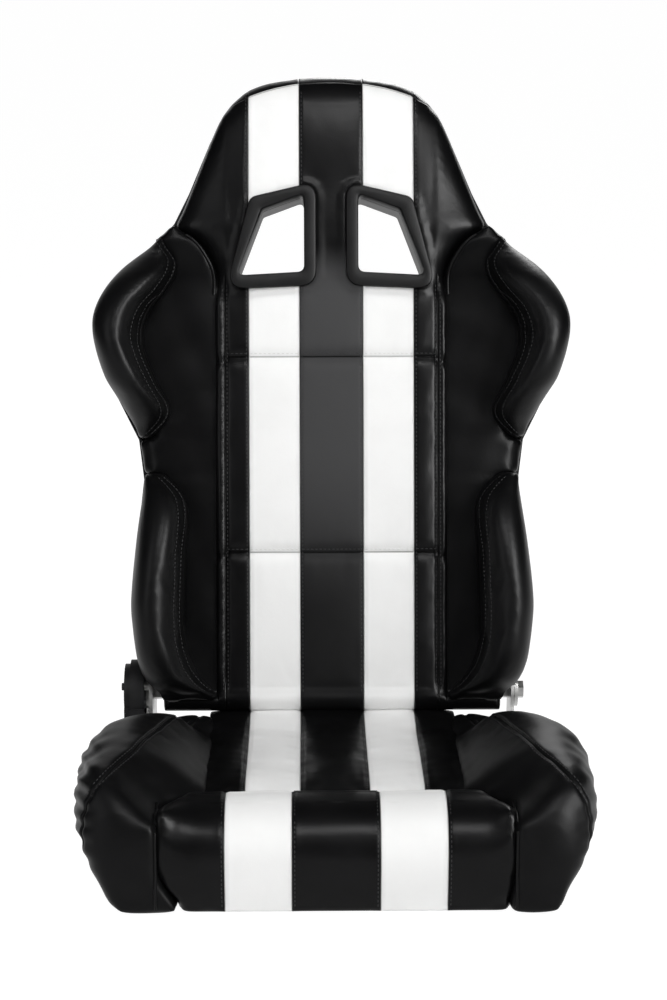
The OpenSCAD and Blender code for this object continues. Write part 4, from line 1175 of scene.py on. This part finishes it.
dress_backrest_pad(covers["backrest_pad"])
dress_cushion(covers["seat_cushion"])
dress_roll(covers["front_roll"])
for side, word in SIDE_NAME.items():
    dress_side_panel(covers["side_panel_" + word])
    dress_back_bolster(covers["shoulder_bolster_" + word], shoulder_in, *SHOULDER_SPAN,
                       0.7 + side)
    dress_back_bolster(covers["lumbar_bolster_" + word], lumbar_seam, *LUMBAR_SPAN,
                       2.9 + side)
    dress_thigh(covers["thigh_bolster_" + word], 1.7 + side)

on_the_back = ("backrest", "side", "shoulder", "lumbar")
back_covers = [covers[n] for n in covers if n.split("_")[0] in on_the_back]
base_covers = [covers[n] for n in covers if covers[n] not in back_covers]
back_skin, base_skin = Skin(back_covers), Skin(base_covers)

# ------------------------------ rows of stitches and welts

black_rows, white_rows = [], []
for x, hs in ((35.2, np.arange(2, 722, 4.0)), (101.8, np.arange(2, 722, 4.0)),
              (125.2, np.arange(4, 492, 4.0)), (131.0, np.arange(4, 492, 4.0))):
    for side in (-1, 1):
        black_rows += on_back(side * x, hs)
for h in CHANNELS:
    black_rows += on_back(np.arange(-34, 35, 3.0), h + 4.0)
    for side in (-1, 1):
        white_rows += on_back(side * np.arange(42, 97, 3.0), h + 4.0)
        black_rows += on_back(side * np.arange(103, 126, 3.0), h + 4.0)
for side in (-1, 1):
    for seam, hs in ((shoulder_in, np.linspace(312, 545, 60)),
                     (lumbar_seam, np.linspace(4, 258, 64))):
        for away in (4.5, 10.5):
            black_rows += on_back(side * (seam(hs) + away), hs)
back_stitches = sew("backrest_stitches", black_rows, stitch_row, black_thread)
back_white_stitches = sew("backrest_white_stitches", white_rows, stitch_row, white_thread)

base_rows = []
for x in (35.0, 102.0):
    for side in (-1, 1):
        base_rows += on_base(side * x, np.arange(-166, 96, 4.0))
for x in (44.0, 121.5):
    for side in (-1, 1):
        base_rows += on_base(side * x, np.arange(-182, -236, -4.0))
        base_rows += on_front(side * x, np.arange(100, 8, -4.0))
for side in (-1, 1):
    for away in (-3.4, 3.4):
        ys = np.arange(-236, 70, 3.0)
        base_rows += on_base(side * (thigh_seam(ys) + away * seam_slant(ys)), ys)
base_stitches = sew("base_stitches", base_rows, stitch_row, black_thread)

welt_rows = []
for side in (-1, 1):
    hs = np.linspace(478, 549, 24)
    welt_rows += on_back(side * (head_seam(hs) + 0.3), hs, 0.0006, False)
back_welts = sew("backrest_welts", welt_rows, welt, welt_cover, {"Radius": 0.0021, "Step": 0.004})

hem_rows, roll_welts = [], []
for side in (-1, 1):
    hem_rows.append([Vector((side * (thigh_outside(y)[2] + 0.6) / 1000, y / 1000, 0.0046))
                     for y in np.linspace(-206 if side < 0 else -240, 20, 60)])
    roll_welts += on_base(side * 191.5, np.linspace(-210, -252, 14), 0.0004)
    roll_welts += on_front(side * 191.5, np.linspace(96, 10, 26), 0.0004)
hem = sew("thigh_hem_binding", hem_rows, welt, hem_binding, {"Radius": 0.0022, "Step": 0.005})
base_welts = sew("roll_end_welts", roll_welts, welt, welt_cover, {"Radius": 0.0019, "Step": 0.004})

# ------------------------------ rear cover, smoothed

shell = nodes["rear_cover"].copy()
shell.data = nodes["rear_cover"].data.copy()
shell.name = shell.data.name = "rear_shell"
for key in list(shell.keys()):
    del shell[key]
shell.parent = None
scene.collection.objects.link(shell)
work = bmesh.new()
work.from_mesh(shell.data)
bmesh.ops.remove_doubles(work, verts=work.verts, dist=2e-5)
work.to_mesh(shell.data)
work.free()
cut_harness_holes(shell)
coat(shell, hard_finish["shell_plastic"])
crisp_edges(shell)


def bezel_moulding(name, side, face, back):
    """A flange with soft edges round a harness hole, and the sleeve that lines the hole."""
    out = math.copysign(1, face - back)
    seat = face - 6 * out
    profile = [(0, seat), (0, face - 2.8 * out), (0.9, face - 0.8 * out), (3, face),
               (11, face), (13.4, face - 0.8 * out), (14.5, face - 2.8 * out), (14.5, back),
               (12.5, back), (12.5, seat)]
    loops = [from_back([(x * side, d, h) for x, h in bezel_outline(inset)])
             for inset, d in profile]
    n, m = len(loops), len(loops[0])
    faces = [(i * m + j, (i + 1) % n * m + j, (i + 1) % n * m + (j + 1) % m, i * m + (j + 1) % m)
             for i in range(n) for j in range(m)]
    piece = new_piece(name + "_moulding", np.concatenate(loops), faces)
    face_outward(piece)
    coat(piece, hard_finish["bezel_plastic"])
    crisp_edges(piece)
    return piece


bezels = {}
for side, word in SIDE_NAME.items():
    for end, face, back in (("front", -38.6, -1.6), ("rear", 68.1, 1.1)):
        name = "bezel_%s_%s" % (end, word)
        bezels[name] = bezel_moulding(name, side, face, back)

# ------------------------------ finishes on steel and plastic

slots = {p["node"]: p["material_slot"] for p in frame["record"]["subparts"]}
for name, node in nodes.items():
    if slots[name] in hard_finish:
        coat(node, hard_finish[slots[name]])

# ------------------------------ finishes on the covers, the body each piece rides on, and the CAD parts it hides

for name, piece in covers.items():
    coat(piece, cover_finish[name.split("_")[0]])
    on_backrest = piece in back_covers
    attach(piece, "backrest" if on_backrest else "base")
    striped = name in ("backrest_pad", "seat_cushion", "front_roll")
    if name == "backrest_pad":
        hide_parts("centre_pad", "headrest_pad")
    else:
        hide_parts(name)
    0.85 if name in ("seat_cushion", "backrest_pad") else 0.9

for piece, body, slot in (
        (back_stitches, "backrest", "black_leatherette"),
        (back_white_stitches, "backrest", "striped_leatherette"),
        (back_welts, "backrest", "black_leatherette"),
        (shell, "backrest", "shell_plastic"),
        (base_stitches, "base", "black_leatherette"),
        (base_welts, "base", "black_leatherette"),
        (hem, "base", "black_leatherette")):
    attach(piece, body)
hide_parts("rear_cover")
for name, piece in bezels.items():
    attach(piece, "backrest")
    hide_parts(name)

# ------------------------------ studio

def studio_lamp(name, place, target, size, power, sheen=True, colour=True):
    lamp = bpy.data.lights.new(name, "AREA")
    lamp.shape = "RECTANGLE"
    lamp.size, lamp.size_y = size
    lamp.energy = power
    held = bpy.data.objects.new(name, lamp)
    held.location = place
    held.rotation_euler = (Vector(target) - Vector(place)).to_track_quat("-Z", "Y").to_euler()
    held.visible_diffuse, held.visible_glossy = colour, sheen
    scene.collection.objects.link(held)


studio_lamp("front_fill", (0, -2.6, 1.75), (0, 0.1, 0.50), (1.6, 1.0), 34, sheen=False)
studio_lamp("left_softbox", (-2.0, -1.3, 1.2), (0, 0.1, 0.42), (0.8, 1.3), 16, sheen=False)
studio_lamp("right_softbox", (2.0, -1.3, 1.2), (0, 0.1, 0.42), (0.8, 1.3), 16, sheen=False)
studio_lamp("left_sheen", (-2.0, -1.5, 1.2), (0, 0.1, 0.42), (0.8, 1.5), 7, colour=False)
studio_lamp("right_sheen", (1.9, -1.7, 1.2), (0, 0.1, 0.42), (1.1, 1.6), 140, colour=False)
studio_lamp("top_softbox", (0, -0.9, 2.5), (0, 0.0, 0.40), (1.3, 0.55), 18, sheen=False)
studio_lamp("top_sheen", (0.3, -1.9, 2.4), (0, 0.0, 0.35), (1.3, 0.5), 42, colour=False)
studio_lamp("rear_softbox", (0.6, 2.4, 1.7), (0, 0.2, 0.45), (1.4, 1.0), 30)

cloth = Finish("black flag cloth")
cloth.surface(cloth.blend(cloth.noise(cloth.place(), 30.0), grey(0.004),
                          grey(0.008)), 0.9, Specular_IOR_Level=0.0)
FLAG_LOW, FLAG_TOP = 0.02, 3.0
for name, (x0, y0, x1, y1) in (("front_flag", (-1.9, -3.2, 1.9, -3.2)),
                               ("left_flag", (-2.3, -0.9, -1.5, 2.6)),
                               ("right_flag", (2.3, -0.9, 1.5, 2.6)),
                               ("top_flag", (-2.2, -3.2, 2.2, 2.6))):
    if name == "top_flag":
        corners = [(x0, y0, FLAG_TOP), (x1, y0, FLAG_TOP), (x1, y1, FLAG_TOP), (x0, y1, FLAG_TOP)]
    else:
        corners = [(x0, y0, FLAG_LOW), (x1, y1, FLAG_LOW), (x1, y1, FLAG_TOP), (x0, y0, FLAG_TOP)]
    flag = new_piece(name, corners, [(0, 1, 2, 3)])
    coat(flag, cloth.made)
    flag.visible_camera = flag.visible_diffuse = flag.visible_shadow = False

room = Finish("studio room", bpy.data.worlds)
scene.world = room.made
dim, pale = (room.node("ShaderNodeBackground", None, {"Color": grey(1), "Strength": power})
             for power in (0.18, 1.0))
room.end(room.node("ShaderNodeMixShader", None, {0: room.seen_directly(), 1: dim, 2: pale}),
         "ShaderNodeOutputWorld")

floor = new_piece("studio_floor", [(-40, -40, 0), (40, -40, 0), (40, 40, 0), (-40, 40, 0)],
                  [(0, 1, 2, 3)])
paper = Finish("studio paper")
matt = paper.node("ShaderNodeBsdfDiffuse", None, {"Color": grey(0.9)})
glow = paper.node("ShaderNodeEmission", None, {"Color": grey(1), "Strength": 1.2})
coat(floor, paper.end(paper.node("ShaderNodeMixShader", None,
                                 {0: paper.seen_directly() * 0.8, 1: matt, 2: glow})))

scene.view_settings.view_transform = "Standard"
